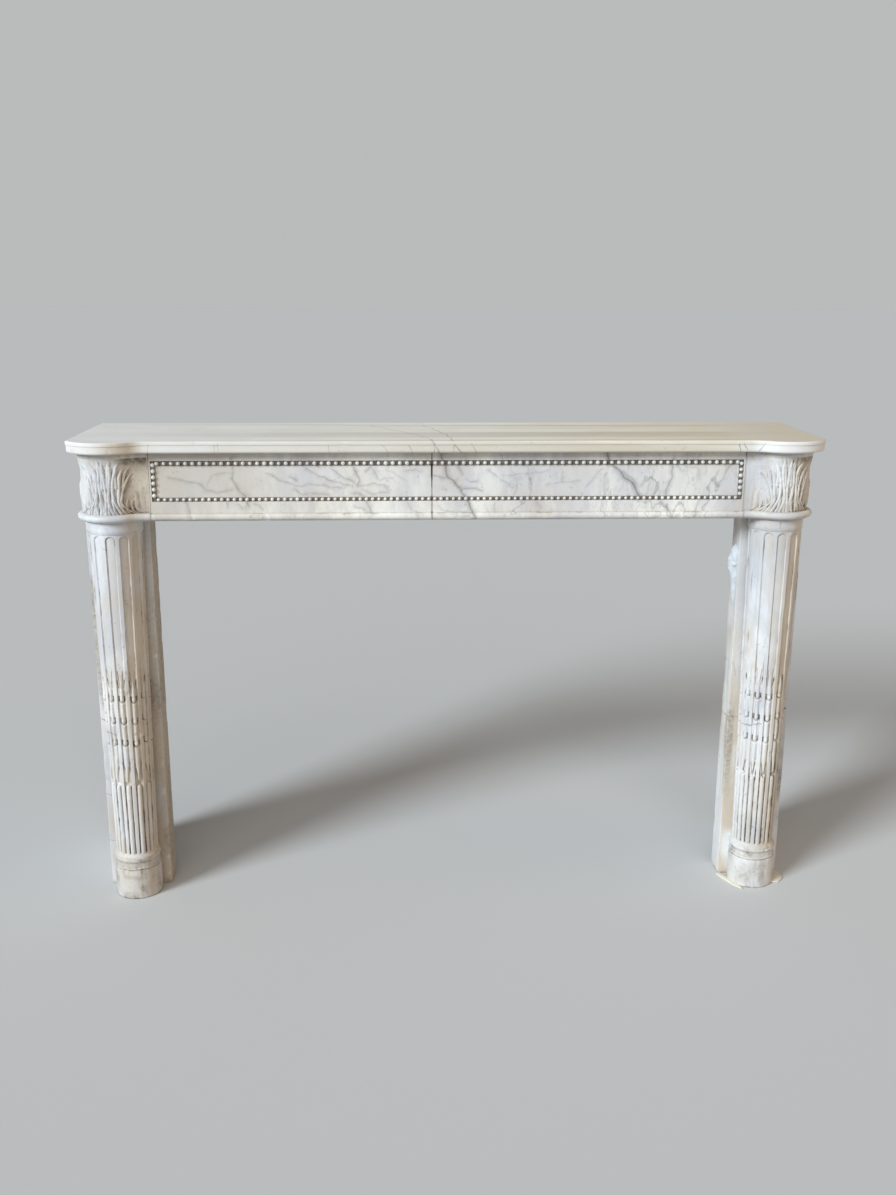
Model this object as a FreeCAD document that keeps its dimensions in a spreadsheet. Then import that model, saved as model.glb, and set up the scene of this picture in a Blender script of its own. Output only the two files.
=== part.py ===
import FreeCAD, Part
import itertools
import math
import operator
import os
from types import SimpleNamespace

import Sketcher

# Marble fireplace mantel: stone blocks held by iron dowels, pins and cramps.
# Millimetres, Z up, X across the mantel, the wall at +Y.
# The origin is on the floor, in the middle of the width and of the depth.

DIMENSIONS = (
    # shelf
    ("shelf_width", 1500, "shelf, end to end"),
    ("shelf_thickness", 24, "shelf slab"),
    ("shelf_overhang", 27, "shelf edge in front of the frieze face"),
    ("shelf_band", 8, "flat band along the top of the shelf edge"),
    ("shelf_quirk", 3, "step from that band back to the round below it"),
    ("shelf_round", 12, "radius of the round under the shelf edge"),
    # columns and what they stand on
    ("column_inset", 75, "column axis to the end of the shelf"),
    ("column_depth", 251.5, "column axis to the wall"),
    ("column_height", 734, "column, from the plinth to the frieze bed"),
    ("column_top_radius", 53, "shaft under the neck"),
    ("column_foot_radius", 43, "shaft at its foot"),
    ("base_height", 12, "hollow-sided base of the shaft"),
    ("base_spread", 5, "base past the foot of the shaft"),
    ("base_lip", 4, "upright edge of the base"),
    ("neck_height", 26, "plain neck above the flutes"),
    ("neck_band", 2, "neck past the top of the shaft"),
    ("plinth_height", 92, "round plinth"),
    ("plinth_radius", 49, "drum of the plinth"),
    ("plinth_drum", 66, "height of the drum"),
    ("plinth_ring", 5, "height of each ring on the plinth"),
    ("plinth_hollow", 2.5, "depth of the band between the rings"),
    # flutes and cables
    ("flute_angle", 30, "angle between flutes, in degrees"),
    ("flute_count", 7, "flutes in front of the jamb slab"),
    ("flute_radius", 8.4, "flute at the foot of the shaft"),
    ("flute_setting", 2.5, "flute centre outside the face of the shaft"),
    ("flute_head_bend", 8.3, "flute where its round head bends"),
    ("flute_head_end", 3.8, "flute where its round head ends"),
    ("cable_radius", 5.6, "cable that fills the lower flute, at the foot of the shaft"),
    ("cable_length", 407, "cable with the chain of husks above it, as one round bar"),
    ("cable_setting", 4.2, "cable centre inside the face of the shaft"),
    # jambs
    ("slab_width", 130, "jamb slab"),
    ("slab_setback", 22.5, "face of the jamb slab behind the column axis"),
    ("slab_thickness", 55, "jamb slab"),
    ("return_thickness", 30, "jamb return and frieze return"),
    # frieze and capitals
    ("frieze_height", 138, "frieze, from its bed to the shelf"),
    ("frieze_forward", 36.5, "frieze face in front of the column axis"),
    ("frieze_thickness", 60, "frieze stones"),
    ("frieze_seam", 36, "seam of the frieze, left of the middle"),
    ("capital_radius", 61.5, "corner block about the column axis"),
    ("sweep_radius", 74.5, "hollow sweep from the frieze face into the capital"),
    ("joint_land", 2, "straight run between the sweep and the frieze joint"),
    ("abacus_height", 9, "band at the top of the capital"),
    ("abacus_spread", 3, "band past the capital"),
    ("astragal_foot", 2, "flat under the astragal"),
    ("astragal_radius", 7, "round of the astragal"),
    ("astragal_flats", 6, "flats that make up this round"),
    ("astragal_spread", 8.5, "astragal past the frieze face"),
    ("astragal_root", 6, "astragal rooted in its block"),
    # sunk panel and bead channels
    ("panel_sill", 39, "frieze bed to the lower bead channel"),
    ("panel_head", 18, "upper bead channel to the shelf"),
    ("panel_margin", 4, "bead channel to the frieze joint"),
    ("bead_low", 8, "width of the lower bead channel"),
    ("bead_high", 10, "width of the upper bead channel"),
    ("bead_end", 9, "width of the upright bead channel"),
    ("bead_sink", 2.5, "depth of the bead channels"),
    ("panel_sink", 4, "depth of the panel"),
    # iron
    ("dowel_side", 12, "upright square dowels in the columns"),
    ("dowel_length", 70, "upright dowels in the columns"),
    ("pin_side", 9, "level square pins and dowels"),
    ("pin_length", 64, "level pins and dowels"),
    ("pin_edge", 36, "pins of the frieze from its bed and its top"),
    ("tie_edge", 150, "pins of the column and jamb from their ends"),
    ("cramp_length", 110, "cramp, end to end"),
    ("cramp_width", 16, "cramp bar"),
    ("cramp_thickness", 6, "cramp bar and its legs"),
    ("cramp_leg", 22, "cramp leg, with the bar"),
    ("iron_clearance", 0.4, "between iron and stone, each way"),
)

doc = FreeCAD.newDocument("marble_mantel")
sheet = doc.addObject("Spreadsheet::Sheet", "dims")
for row, (name, value, meaning) in enumerate(DIMENSIONS, start=1):
    sheet.set(f"A{row}", meaning)
    sheet.set(f"B{row}", str(value))
    sheet.setAlias(f"B{row}", name)
doc.recompute()

SIGNS = {"+": operator.add, "-": operator.sub, "*": operator.mul, "/": operator.truediv}


class Size:
    """A number together with the sheet expression that it comes from."""

    def __init__(self, value, text):
        self.value = value
        self.text = text

    def __add__(self, other):
        return combine(self, "+", other)

    def __radd__(self, other):
        return combine(other, "+", self)

    def __sub__(self, other):
        return combine(self, "-", other)

    def __rsub__(self, other):
        return combine(other, "-", self)

    def __mul__(self, other):
        return combine(self, "*", other)

    def __rmul__(self, other):
        return combine(other, "*", self)

    def __truediv__(self, other):
        return combine(self, "/", other)

    def __neg__(self):
        return combine(0, "-", self)


def size(thing):
    """A plain number as a Size; a Size as it is."""
    return thing if isinstance(thing, Size) else Size(float(thing), str(thing))


def combine(first, sign, second):
    """Two sizes joined by an arithmetic sign."""
    a, b = size(first), size(second)
    return Size(SIGNS[sign](a.value, b.value), f"({a.text} {sign} {b.text})")


def root(thing):
    """Square root of a size."""
    return Size(math.sqrt(thing.value), f"sqrt({thing.text})")


def turned(degrees):
    """Cosine and sine of an angle."""
    radians = math.radians(degrees.value)
    return Size(math.cos(radians), f"cos({degrees.text})"), Size(math.sin(radians), f"sin({degrees.text})")


d = SimpleNamespace(**{name: Size(float(sheet.get(name)), f"dims.{name}") for name, _, _ in DIMENSIONS})

spare_rows = itertools.count(len(DIMENSIONS) + 1)


def kept(name, length):
    """Keep a worked-out size in the sheet under a name, so that the expressions that use it stay short."""
    cell = f"B{next(spare_rows)}"
    sheet.set(cell, "=" + length.text.replace("dims.", ""))
    sheet.setAlias(cell, name)
    sheet.recompute()
    return Size(length.value, f"dims.{name}")


# Places worked out from the driving dimensions
axis_x = kept("axis_x", d.shelf_width / 2 - d.column_inset)
wall_y = kept("wall_y", (d.column_depth + d.capital_radius + d.shelf_overhang) / 2)
axis_y = kept("axis_y", wall_y - d.column_depth)
slab_y = kept("slab_y", axis_y + d.slab_setback)
slab_back = kept("slab_back", slab_y + d.slab_thickness)
face_y = kept("face_y", axis_y - d.frieze_forward)
bed_z = kept("bed_z", d.plinth_height + d.column_height)
shelf_z = kept("shelf_z", bed_z + d.frieze_height)
band_z = kept("band_z", shelf_z + d.shelf_thickness - d.shelf_band)
outer_x = kept("outer_x", axis_x + d.capital_radius)
slab_outer = kept("slab_outer", axis_x + d.slab_width / 2)
astragal_z = kept("astragal_z", bed_z + d.astragal_foot + d.astragal_radius)

# The S-shaped plan: an arc about the column axis and a hollow arc that runs into the frieze face.
# Every moulding of the corner is an offset of this one curve.
sweep_y = kept("sweep_y", face_y - d.sweep_radius)
reach = kept("reach", d.capital_radius + d.sweep_radius)
sweep_x = kept("sweep_x", axis_x - root(reach * reach - (axis_y - sweep_y) * (axis_y - sweep_y)))
joint_x = kept("joint_x", sweep_x - d.joint_land)


def bind(thing, prop, length):
    """Tie a property to the sheet."""
    thing.setExpression(prop, size(length).text)


def box(name, corner, spans):
    """Box from its lowest corner and its spans along X, Y and Z."""
    made = doc.addObject("Part::Box", name)
    for prop, length in zip(("Length", "Width", "Height"), spans):
        bind(made, prop, length)
    for letter, place in zip("xyz", corner):
        bind(made, f"Placement.Base.{letter}", place)
    return made


def sketch_on(body, name, plane, offset=0):
    """Empty sketch on one of the body's own planes, moved along the plane's normal."""
    sketch = body.newObject("Sketcher::SketchObject", name)
    support = next(f for f in body.Origin.OriginFeatures if f.Role == plane)
    sketch.AttachmentSupport = [(support, "")]
    sketch.MapMode = "FlatFace"
    bind(sketch, "AttachmentOffset.Base.z", offset)
    return sketch


def tie(edge, end, letter, length, name):
    """Constraint for one coordinate of a point, with its name and expression.

    A plain zero puts the point on the sketch's axis and needs neither.
    """
    if not isinstance(length, Size) and length == 0:
        axis = -2 if letter == "X" else -1
        return Sketcher.Constraint("PointOnObject", edge, end, axis), None, None
    place = Sketcher.Constraint(f"Distance{letter}", -1, 1, edge, end, size(length).value)
    return place, name, size(length).text


def trace(sketch, corners, closed=True):
    """Outline through corners: (x, y) ends a straight run, (x, y, (centre), way) ends an arc.

    way is +1 for an arc that turns anticlockwise from the corner before it.
    """
    count = len(corners)
    spans = range(count) if closed else range(1, count)
    first_end = {}
    lines, ties = [], []
    for edge, index in enumerate(spans):
        x0, y0 = (size(c).value for c in corners[index - 1][:2])
        x1, y1 = (size(c).value for c in corners[index][:2])
        start, stop = FreeCAD.Vector(x0, y0, 0), FreeCAD.Vector(x1, y1, 0)
        if len(corners[index]) == 2:
            lines.append(Part.LineSegment(start, stop))
            ends = (1, 2)
        else:
            centre_size, way = corners[index][2:]
            centre = FreeCAD.Vector(size(centre_size[0]).value, size(centre_size[1]).value, 0)
            low, high = (start, stop) if way > 0 else (stop, start)
            angles = [math.atan2(p.y - centre.y, p.x - centre.x) for p in (low, high)]
            circle = Part.Circle(centre, FreeCAD.Vector(0, 0, 1), (start - centre).Length)
            lines.append(Part.ArcOfCircle(circle, *angles))
            ends = (1, 2) if way > 0 else (2, 1)
            tall = abs(y1 - y0) >= abs(x1 - x0)
            letter, place = ("X", centre_size[0]) if tall else ("Y", centre_size[1])
            ties.append(tie(edge, 3, letter, place, f"centre{index}"))
        first_end[index] = (edge, ends)
    for index in spans:
        edge, ends = first_end[index]
        for letter, place in zip("XY", corners[index][:2]):
            ties.append(tie(edge, ends[1], letter, place, f"corner{index}{letter.lower()}"))
        following = (index + 1) % count
        if following in first_end:
            next_edge, next_ends = first_end[following]
            join = Sketcher.Constraint("Coincident", edge, ends[1], next_edge, next_ends[0])
            ties.append((join, None, None))
    if not closed:
        edge, ends = first_end[1]
        for letter, place in zip("XY", corners[0][:2]):
            ties.append(tie(edge, ends[0], letter, place, f"corner0{letter.lower()}"))
    sketch.addGeometry(lines, False)
    added = sketch.addConstraint([constraint for constraint, _, _ in ties])
    for number, (_, name, text) in zip(added, ties):
        if name:
            sketch.renameConstraint(number, name)
            sketch.setExpression(f"Constraints.{name}", text)
    return sketch


def pad(body, sketch, length, backwards=False):
    """Solid grown from a sketch along its normal."""
    grown = body.newObject("PartDesign::Pad", f"{sketch.Name}_pad")
    grown.Profile = sketch
    bind(grown, "Length", length)
    grown.Reversed = backwards
    return grown


def pocket(body, sketch, depth):
    """Cut from a sketch, against its normal."""
    before = body_volume(body)
    cut = body.newObject("PartDesign::Pocket", f"{sketch.Name}_pocket")
    cut.Profile = sketch
    bind(cut, "Length", depth)
    if body_volume(body) >= before:
        raise ValueError(f"{sketch.Name} cuts nothing")
    return cut


def body_volume(body):
    doc.recompute()
    return body.Shape.Volume


def revolve(body, sketch):
    """Full turn of a sketch about its upright axis."""
    made = body.newObject("PartDesign::Revolution", f"{sketch.Name}_turn")
    made.Profile = sketch
    made.ReferenceAxis = (sketch, ["V_Axis"])
    made.Angle = 360
    return made


def s_points(spread):
    """Ends of the two arcs of the S-shaped plan, offset outwards by spread."""
    radius = d.capital_radius + spread
    share = radius / reach
    into_frieze = (sweep_x, face_y - spread)
    between = (axis_x - (axis_x - sweep_x) * share, axis_y + (sweep_y - axis_y) * share)
    return radius, into_frieze, between


AXIS = (axis_x, axis_y)
SWEEP = (sweep_x, sweep_y)


def mirrored(corner):
    """A corner of an outline on the other side of the middle."""
    return (-corner[0], corner[1])


def shelf_plan(sketch, spread, side_x):
    """Whole outline of the shelf: straight sides, bows over the columns, hollow sweeps between."""
    radius, into_frieze, between = s_points(spread)
    run = side_x - axis_x
    front_corner = (side_x, axis_y - root(radius * radius - run * run))
    return trace(sketch, [
        mirrored((side_x, wall_y)),
        (side_x, wall_y),
        front_corner,
        (*between, AXIS, -1),
        (*into_frieze, SWEEP, 1),
        mirrored(into_frieze),
        (*mirrored(between), mirrored(SWEEP), 1),
        (*mirrored(front_corner), mirrored(AXIS), -1),
    ])


def corner_plan(sketch, spread):
    """Outline of the right-hand corner block: joint to the frieze, S-shaped front, outer side, back."""
    radius, into_frieze, between = s_points(spread)
    return trace(sketch, [
        (joint_x, slab_back),
        (joint_x, face_y - spread),
        into_frieze,
        (*between, SWEEP, -1),
        (axis_x + radius, axis_y, AXIS, 1),
        (axis_x + radius, slab_back),
    ])


# Cosine and sine of the rise of each corner of the astragal's round, from its foot to its top
ASTRAGAL_RISES = []
for number in range(int(d.astragal_flats.value) + 1):
    cosine, sine = turned(size(number * 180) / d.astragal_flats - 90)
    ASTRAGAL_RISES.append((kept(f"astragal_{number}_cosine", cosine), kept(f"astragal_{number}_sine", sine)))


def astragal_round(face, outwards):
    """Corners of the astragal on a face, upwards; outwards is the sign of the way it stands out."""
    centre = face + outwards * (d.astragal_spread - d.astragal_radius)
    return [(centre + outwards * d.astragal_radius * cosine, astragal_z + d.astragal_radius * sine)
            for cosine, sine in ASTRAGAL_RISES]


def make_shelf():
    body = doc.addObject("PartDesign::Body", "shelf_body")
    half = d.shelf_width / 2
    lower = shelf_plan(sketch_on(body, "shelf_lower", "XY_Plane", shelf_z),
                       d.shelf_overhang - d.shelf_quirk, half - d.shelf_quirk)
    lower_pad = pad(body, lower, d.shelf_thickness - d.shelf_band)
    upper = shelf_plan(sketch_on(body, "shelf_upper", "XY_Plane", band_z), d.shelf_overhang, half)
    upper_pad = pad(body, upper, d.shelf_band)
    doc.recompute()
    underside = [f"Edge{n}" for n, edge in enumerate(upper_pad.Shape.Edges, start=1)
                 if edge.BoundBox.ZMax < shelf_z.value + 0.01
                 and edge.BoundBox.YMin < wall_y.value - 0.01]
    rounding = body.newObject("PartDesign::Fillet", "shelf_rounding")
    rounding.Base = (upper_pad, underside)
    bind(rounding, "Radius", d.shelf_round)
    return body


def make_frieze(name, left, right, channel_left, channel_right, panel_left, panel_right):
    """One stone of the frieze between two X places, with its share of the sunk panel."""
    body = doc.addObject("PartDesign::Body", f"{name}_body")
    back = face_y + d.frieze_thickness
    ring = astragal_round(face_y, -1)
    section = trace(sketch_on(body, f"{name}_section", "YZ_Plane", left), [
        (back, shelf_z),
        (back, bed_z),
        (ring[0][0], bed_z),
        *ring,
        (face_y, ring[-1][1]),
        (face_y, shelf_z),
    ])
    pad(body, section, right - left)
    sill, head = bed_z + d.panel_sill, shelf_z - d.panel_head
    for part, x0, x1, z0, z1, depth in (
        ("channel", channel_left, channel_right, sill, head, d.bead_sink),
        ("panel", panel_left, panel_right, sill + d.bead_low, head - d.bead_high, d.panel_sink),
    ):
        window = trace(sketch_on(body, f"{name}_{part}", "XZ_Plane", -face_y),
                       [(x0, z0), (x1, z0), (x1, z1), (x0, z1)])
        pocket(body, window, depth)
    return body


def make_capital():
    body = doc.addObject("PartDesign::Body", "capital_body")
    pad(body, corner_plan(sketch_on(body, "capital_plan", "XY_Plane", bed_z), size(0)), d.frieze_height)
    top = corner_plan(sketch_on(body, "capital_abacus", "XY_Plane", shelf_z - d.abacus_height),
                      d.abacus_spread)
    pad(body, top, d.abacus_height)
    radius, into_frieze, between = s_points(size(0))
    path = trace(sketch_on(body, "capital_path", "XY_Plane", astragal_z), [
        (joint_x, face_y),
        into_frieze,
        (*between, SWEEP, -1),
        (outer_x, axis_y, AXIS, 1),
        (outer_x, slab_back),
    ], closed=False)
    ring = astragal_round(face_y, -1)
    rooted = face_y + d.astragal_root
    section = trace(sketch_on(body, "capital_ring", "YZ_Plane", joint_x),
                    [(rooted, ring[0][1]), *ring, (rooted, ring[-1][1])])
    doc.recompute()
    astragal = body.newObject("PartDesign::AdditivePipe", "capital_astragal")
    astragal.Profile = section
    astragal.Spine = (path, [f"Edge{n + 1}" for n in range(len(path.Shape.Edges))])
    return body


def make_frieze_return():
    body = doc.addObject("PartDesign::Body", "frieze_return_body")
    inner = outer_x - d.return_thickness
    ring = astragal_round(outer_x, 1)
    section = trace(sketch_on(body, "frieze_return_section", "XZ_Plane", -slab_back), [
        (inner, shelf_z),
        (inner, bed_z),
        (outer_x, bed_z),
        (outer_x, ring[0][1]),
        *ring,
        (outer_x, ring[-1][1]),
        (outer_x, shelf_z),
    ])
    pad(body, section, wall_y - slab_back, backwards=True)
    return body


def cut_at_slab(body, name, height):
    """Trim a turned piece where it meets the face of the jamb slab."""
    behind = d.slab_setback
    half = d.slab_width
    plane = trace(sketch_on(body, f"{name}_back", "XY_Plane", height),
                  [(-half, behind), (half, behind), (half, behind + half), (-half, behind + half)])
    pocket(body, plane, height)


def stand_on_axis(body, z):
    """Set a turned piece on the right-hand column axis."""
    for letter, place in zip("xyz", (axis_x, axis_y, z)):
        bind(body, f"Placement.Base.{letter}", place)


def make_plinth():
    """Round drum with two rings and a sunk band between them."""
    body = doc.addObject("PartDesign::Body", "plinth_body")
    edge, hollow = d.plinth_radius, d.plinth_radius - d.plinth_hollow
    middle = (d.plinth_drum + d.plinth_height - d.plinth_ring) / 2
    section = trace(sketch_on(body, "plinth_section", "XZ_Plane"), [
        (0, 0),
        (edge, 0),
        (edge, d.plinth_drum),
        (hollow, d.plinth_drum + d.plinth_hollow),
        (edge, d.plinth_drum + d.plinth_hollow * 2),
        (edge, middle),
        (hollow, middle + d.plinth_hollow),
        (hollow, d.plinth_height - d.plinth_ring),
        (edge, d.plinth_height - d.plinth_ring + d.plinth_hollow),
        (edge, d.plinth_height),
        (0, d.plinth_height),
    ])
    revolve(body, section)
    cut_at_slab(body, "plinth", d.plinth_height)
    stand_on_axis(body, 0)
    return body


def meeting(near, near_radius, far, far_radius):
    """Distance along and beside the line of centres where two circles on one ray cross.

    near and far are the distances of the centres from the column axis.
    """
    apart = far - near
    along = (apart * apart + near_radius * near_radius - far_radius * far_radius) / (apart * 2)
    return near + along, root(near_radius * near_radius - along * along)


# Cosine and sine of the turn of each flute from the front, the middle flute facing forward
FLUTE_TURNS = []
for number in range(int(d.flute_count.value)):
    cosine, sine = turned((number - (d.flute_count - 1) / 2) * d.flute_angle)
    FLUTE_TURNS.append((kept(f"flute_{number}_cosine", cosine), kept(f"flute_{number}_sine", sine)))


def fluted_section(sketch, shaft, flute, cable=None):
    """Section of the shaft: fillets on the shaft circle, hollow flutes and, in them, round cables.

    The settings grow with the shaft. The back is flat where the shaft meets the jamb slab.
    """
    def own(name, length):
        return kept(f"{sketch.Name}_{name}", length)

    shaft = own("face", shaft)
    flute = own("flute", flute)
    growth = own("growth", shaft / d.column_foot_radius)
    flute_at = own("flute_at", shaft + d.flute_setting * growth)
    edge_along, edge_beside = meeting(size(0), shaft, flute_at, flute)
    edge_along, edge_beside = own("edge_along", edge_along), own("edge_beside", edge_beside)
    if cable is not None:
        cable_at = own("cable_at", shaft - d.cable_setting * growth)
        cable_along, cable_beside = meeting(cable_at, cable * growth, flute_at, flute)
        cable_along, cable_beside = own("cable_along", cable_along), own("cable_beside", cable_beside)
    back_x = own("back_x", root(shaft * shaft - d.slab_setback * d.slab_setback))
    corners = [(back_x, d.slab_setback, (0, 0), 1), (-back_x, d.slab_setback)]
    for cosine, sine in FLUTE_TURNS:
        def place(along, beside):
            return (along * sine + beside * cosine, beside * sine - along * cosine)

        centre = place(flute_at, size(0))
        corners.append((*place(edge_along, -edge_beside), (0, 0), 1))
        if cable is not None:
            corners.append((*place(cable_along, -cable_beside), centre, -1))
            corners.append((*place(cable_along, cable_beside), place(cable_at, size(0)), 1))
        corners.append((*place(edge_along, edge_beside), centre, -1))
    return trace(sketch, corners)


def loft(body, sections):
    """Straight-sided solid through a row of sections."""
    made = body.newObject("PartDesign::AdditiveLoft", f"{sections[0].Name}_loft")
    made.Profile = sections[0]
    made.Sections = sections[1:]
    made.Ruled = True
    return made


def make_column():
    """Tapered shaft with round-headed flutes; a cable fills the lower part of each flute."""
    body = doc.addObject("PartDesign::Body", "column_body")
    foot, top = d.column_foot_radius, d.column_top_radius
    shaft_foot = d.base_height
    shaft_top = kept("shaft_top", d.column_height - d.neck_height)
    taper = kept("shaft_taper", (top - foot) / (shaft_top - shaft_foot))
    flute_top = kept("flute_top", d.flute_radius * top / foot)
    head_z = kept("flute_head_z", shaft_top - flute_top - d.neck_band)
    cable_top = kept("cable_top", shaft_foot + d.cable_length)

    def face_at(height):
        return foot + taper * (height - shaft_foot)

    def section(name, height, cable=None, flute=None):
        plane = sketch_on(body, f"column_{name}", "XY_Plane", height)
        return fluted_section(plane, face_at(height), flute or d.flute_radius * face_at(height) / foot, cable)

    # The flutes hold a cable at first and stay open above it, up to a round head
    loft(body, [section("cable_foot", shaft_foot, d.cable_radius),
                section("cable_top", cable_top, d.cable_radius)])
    heads = []
    for name, radius in (("head_bend", d.flute_head_bend), ("head_end", d.flute_head_end)):
        rise = root(flute_top * flute_top - radius * radius)
        end_z = kept(f"{name}_z", head_z + rise)
        heads.append(section(name, end_z, flute=radius))
    loft(body, [section("open_foot", cable_top), section("open_top", head_z)] + heads)

    # Base below the flutes and plain neck above them, both turned
    base_edge = foot + d.base_spread
    base = trace(sketch_on(body, "column_base", "XZ_Plane"), [
        (0, 0),
        (base_edge, 0),
        (base_edge, d.base_lip),
        (foot, shaft_foot),
        (0, shaft_foot),
    ])
    revolve(body, base)
    neck_edge = top + d.neck_band
    neck = trace(sketch_on(body, "column_neck", "XZ_Plane"), [
        (0, end_z),
        (face_at(end_z), end_z),
        (top, shaft_top),
        (neck_edge, shaft_top + d.neck_band),
        (neck_edge, d.column_height),
        (0, d.column_height),
    ])
    revolve(body, neck)

    cut_at_slab(body, "column", d.column_height)
    stand_on_axis(body, d.plinth_height)
    return body


def bar(name, axis, start, side, length):
    """Square bar along one axis, from the middle of its first end."""
    spans = [length if letter == axis else side for letter in "xyz"]
    corner = [place if letter == axis else place - side / 2 for letter, place in zip("xyz", start)]
    return box(name, corner, spans)


def socket(name, axis, start, side, length):
    """Hole for a square bar: the bar with clearance all round."""
    gap = d.iron_clearance
    moved = [place - gap if letter == axis else place for letter, place in zip("xyz", start)]
    return bar(name, axis, moved, side + gap * 2, length + gap * 2)


def bars(name, axis, starts, side, length):
    """Square bars of one kind and the holes that they sit in."""
    iron = [bar(f"{name}_{n}", axis, start, side, length) for n, start in enumerate(starts, 1)]
    holes = [socket(f"{name}_hole_{n}", axis, start, side, length) for n, start in enumerate(starts, 1)]
    return group(name, iron), holes


def group(name, members):
    """Several separate solids as one object."""
    if len(members) == 1:
        return members[0]
    made = doc.addObject("Part::Compound", f"{name}_group")
    made.Links = members
    return made


def cramp(name, along, middle, clearance):
    """Staple let into the top bed: a flat bar with a turned-down leg at each end.

    With a clearance it is the recess that is cut for the staple.
    """
    length, width = d.cramp_length + clearance * 2, d.cramp_width + clearance * 2
    leg = d.cramp_thickness + clearance * 2
    top = shelf_z - d.iron_clearance + clearance
    bar_height, leg_height = d.cramp_thickness + clearance * 2, d.cramp_leg + clearance * 2
    starts = (-length / 2, -length / 2, length / 2 - leg)
    spans = ((length, bar_height), (leg, leg_height), (leg, leg_height))
    pieces = []
    for n, (start, (span, height)) in enumerate(zip(starts, spans), 1):
        if along == "x":
            corner = (middle[0] + start, middle[1] - width / 2, top - height)
            pieces.append(box(f"{name}_{n}", corner, (span, width, height)))
        else:
            corner = (middle[0] - width / 2, middle[1] + start, top - height)
            pieces.append(box(f"{name}_{n}", corner, (width, span, height)))
    made = doc.addObject("Part::MultiFuse", f"{name}_fuse")
    made.Shapes = pieces
    return made


def bored(name, stone, holes):
    """A stone with the holes and recesses for its iron cut out."""
    tool = holes[0]
    if len(holes) > 1:
        tool = doc.addObject("Part::MultiFuse", f"{name}_holes")
        tool.Shapes = holes
    cut = doc.addObject("Part::Cut", f"{name}_bored")
    cut.Base = stone
    cut.Tool = tool
    return cut


NODES = {}


def node(name, thing):
    """Give a finished piece its name."""
    thing.Label = name
    NODES[name] = thing


def pair(name, right):
    """A right-hand piece and its mirror image on the left."""
    node(f"{name}_right", right)
    node(f"{name}_left", mirror(right))


def mirror(thing):
    image = doc.addObject("Part::Mirroring", f"{thing.Name}_image")
    image.Source = thing
    image.Normal = FreeCAD.Vector(1, 0, 0)
    return image


# Iron of the right-hand corner, each kind with the holes for it
half_dowel = d.dowel_length / 2
half_pin = d.pin_length / 2
foot_dowel, foot_holes = bars("foot_dowel", "z", [(axis_x, axis_y, d.plinth_height - half_dowel)],
                              d.dowel_side, d.dowel_length)
head_dowel, head_holes = bars("head_dowel", "z", [(axis_x, axis_y, bed_z - half_dowel)],
                              d.dowel_side, d.dowel_length)
frieze_pin_y = face_y + d.frieze_thickness / 2
frieze_pin_levels = (bed_z + d.pin_edge, shelf_z - d.pin_edge)
end_dowels, end_holes = bars("end_dowel", "x",
                             [(joint_x - half_pin, frieze_pin_y, z) for z in frieze_pin_levels],
                             d.pin_side, d.pin_length)
seam_dowels, seam_holes = bars("seam_dowel", "x",
                               [(-d.frieze_seam - half_pin, frieze_pin_y, z) for z in frieze_pin_levels],
                               d.pin_side, d.pin_length)
tie_levels = (d.plinth_height + d.tie_edge, bed_z - d.tie_edge)
column_pins, column_holes = bars("column_pin", "y",
                                 [(axis_x, slab_y - half_pin, z) for z in tie_levels],
                                 d.pin_side, d.pin_length)
return_x = slab_outer - d.return_thickness / 2
jamb_pins, jamb_holes = bars("jamb_pin", "y",
                             [(return_x, slab_back - half_pin, z) for z in tie_levels],
                             d.pin_side, d.pin_length)
CRAMPS = {
    "frieze_cramp": ("x", (joint_x, frieze_pin_y)),
    "return_cramp": ("y", (outer_x - d.return_thickness / 2, slab_back)),
}
cramps = {name: cramp(name, along, middle, size(0)) for name, (along, middle) in CRAMPS.items()}
recesses = {name: cramp(f"{name}_recess", along, middle, d.iron_clearance)
            for name, (along, middle) in CRAMPS.items()}

# Stones
node("shelf", make_shelf())
channel_end = joint_x - d.panel_margin
panel_end = channel_end - d.bead_end
seam_x = -d.frieze_seam
frieze_right = make_frieze("frieze_right", seam_x, joint_x, seam_x, channel_end, seam_x, panel_end)
frieze_left = make_frieze("frieze_left", -joint_x, seam_x, -channel_end, seam_x, -panel_end, seam_x)
frieze_end_cuts = end_holes + [recesses["frieze_cramp"]]
node("frieze_right", bored("frieze_right", frieze_right, frieze_end_cuts + seam_holes))
node("frieze_left", bored("frieze_left", frieze_left, [mirror(h) for h in frieze_end_cuts] + seam_holes))
pair("capital", bored("capital", make_capital(), head_holes + end_holes + list(recesses.values())))
pair("column", bored("column", make_column(), foot_holes + head_holes + column_holes))
pair("plinth", bored("plinth", make_plinth(), foot_holes))
jamb_slab = box("jamb_slab", (axis_x - d.slab_width / 2, slab_y, 0), (d.slab_width, d.slab_thickness, bed_z))
pair("jamb_slab", bored("jamb_slab", jamb_slab, column_holes + jamb_holes))
jamb_return = box("jamb_return", (slab_outer - d.return_thickness, slab_back, 0),
                  (d.return_thickness, wall_y - slab_back, bed_z))
pair("jamb_return", bored("jamb_return", jamb_return, jamb_holes))
pair("frieze_return", bored("frieze_return", make_frieze_return(), [recesses["return_cramp"]]))

# Iron
pair("foot_dowel", foot_dowel)
pair("head_dowel", head_dowel)
pair("frieze_end_dowels", end_dowels)
node("frieze_seam_dowels", seam_dowels)
pair("column_pins", column_pins)
pair("jamb_pins", jamb_pins)
for name, iron in cramps.items():
    pair(name, iron)

doc.recompute()
for thing in doc.Objects:
    if any(word in thing.State for word in ("Invalid", "Error")):
        raise ValueError(f"{thing.Name} failed: {thing.State}")
for name, thing in NODES.items():
    if thing.Shape.isNull() or not thing.Shape.isValid() or not thing.Shape.Solids:
        raise ValueError(f"{name} has no sound shape")

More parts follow.
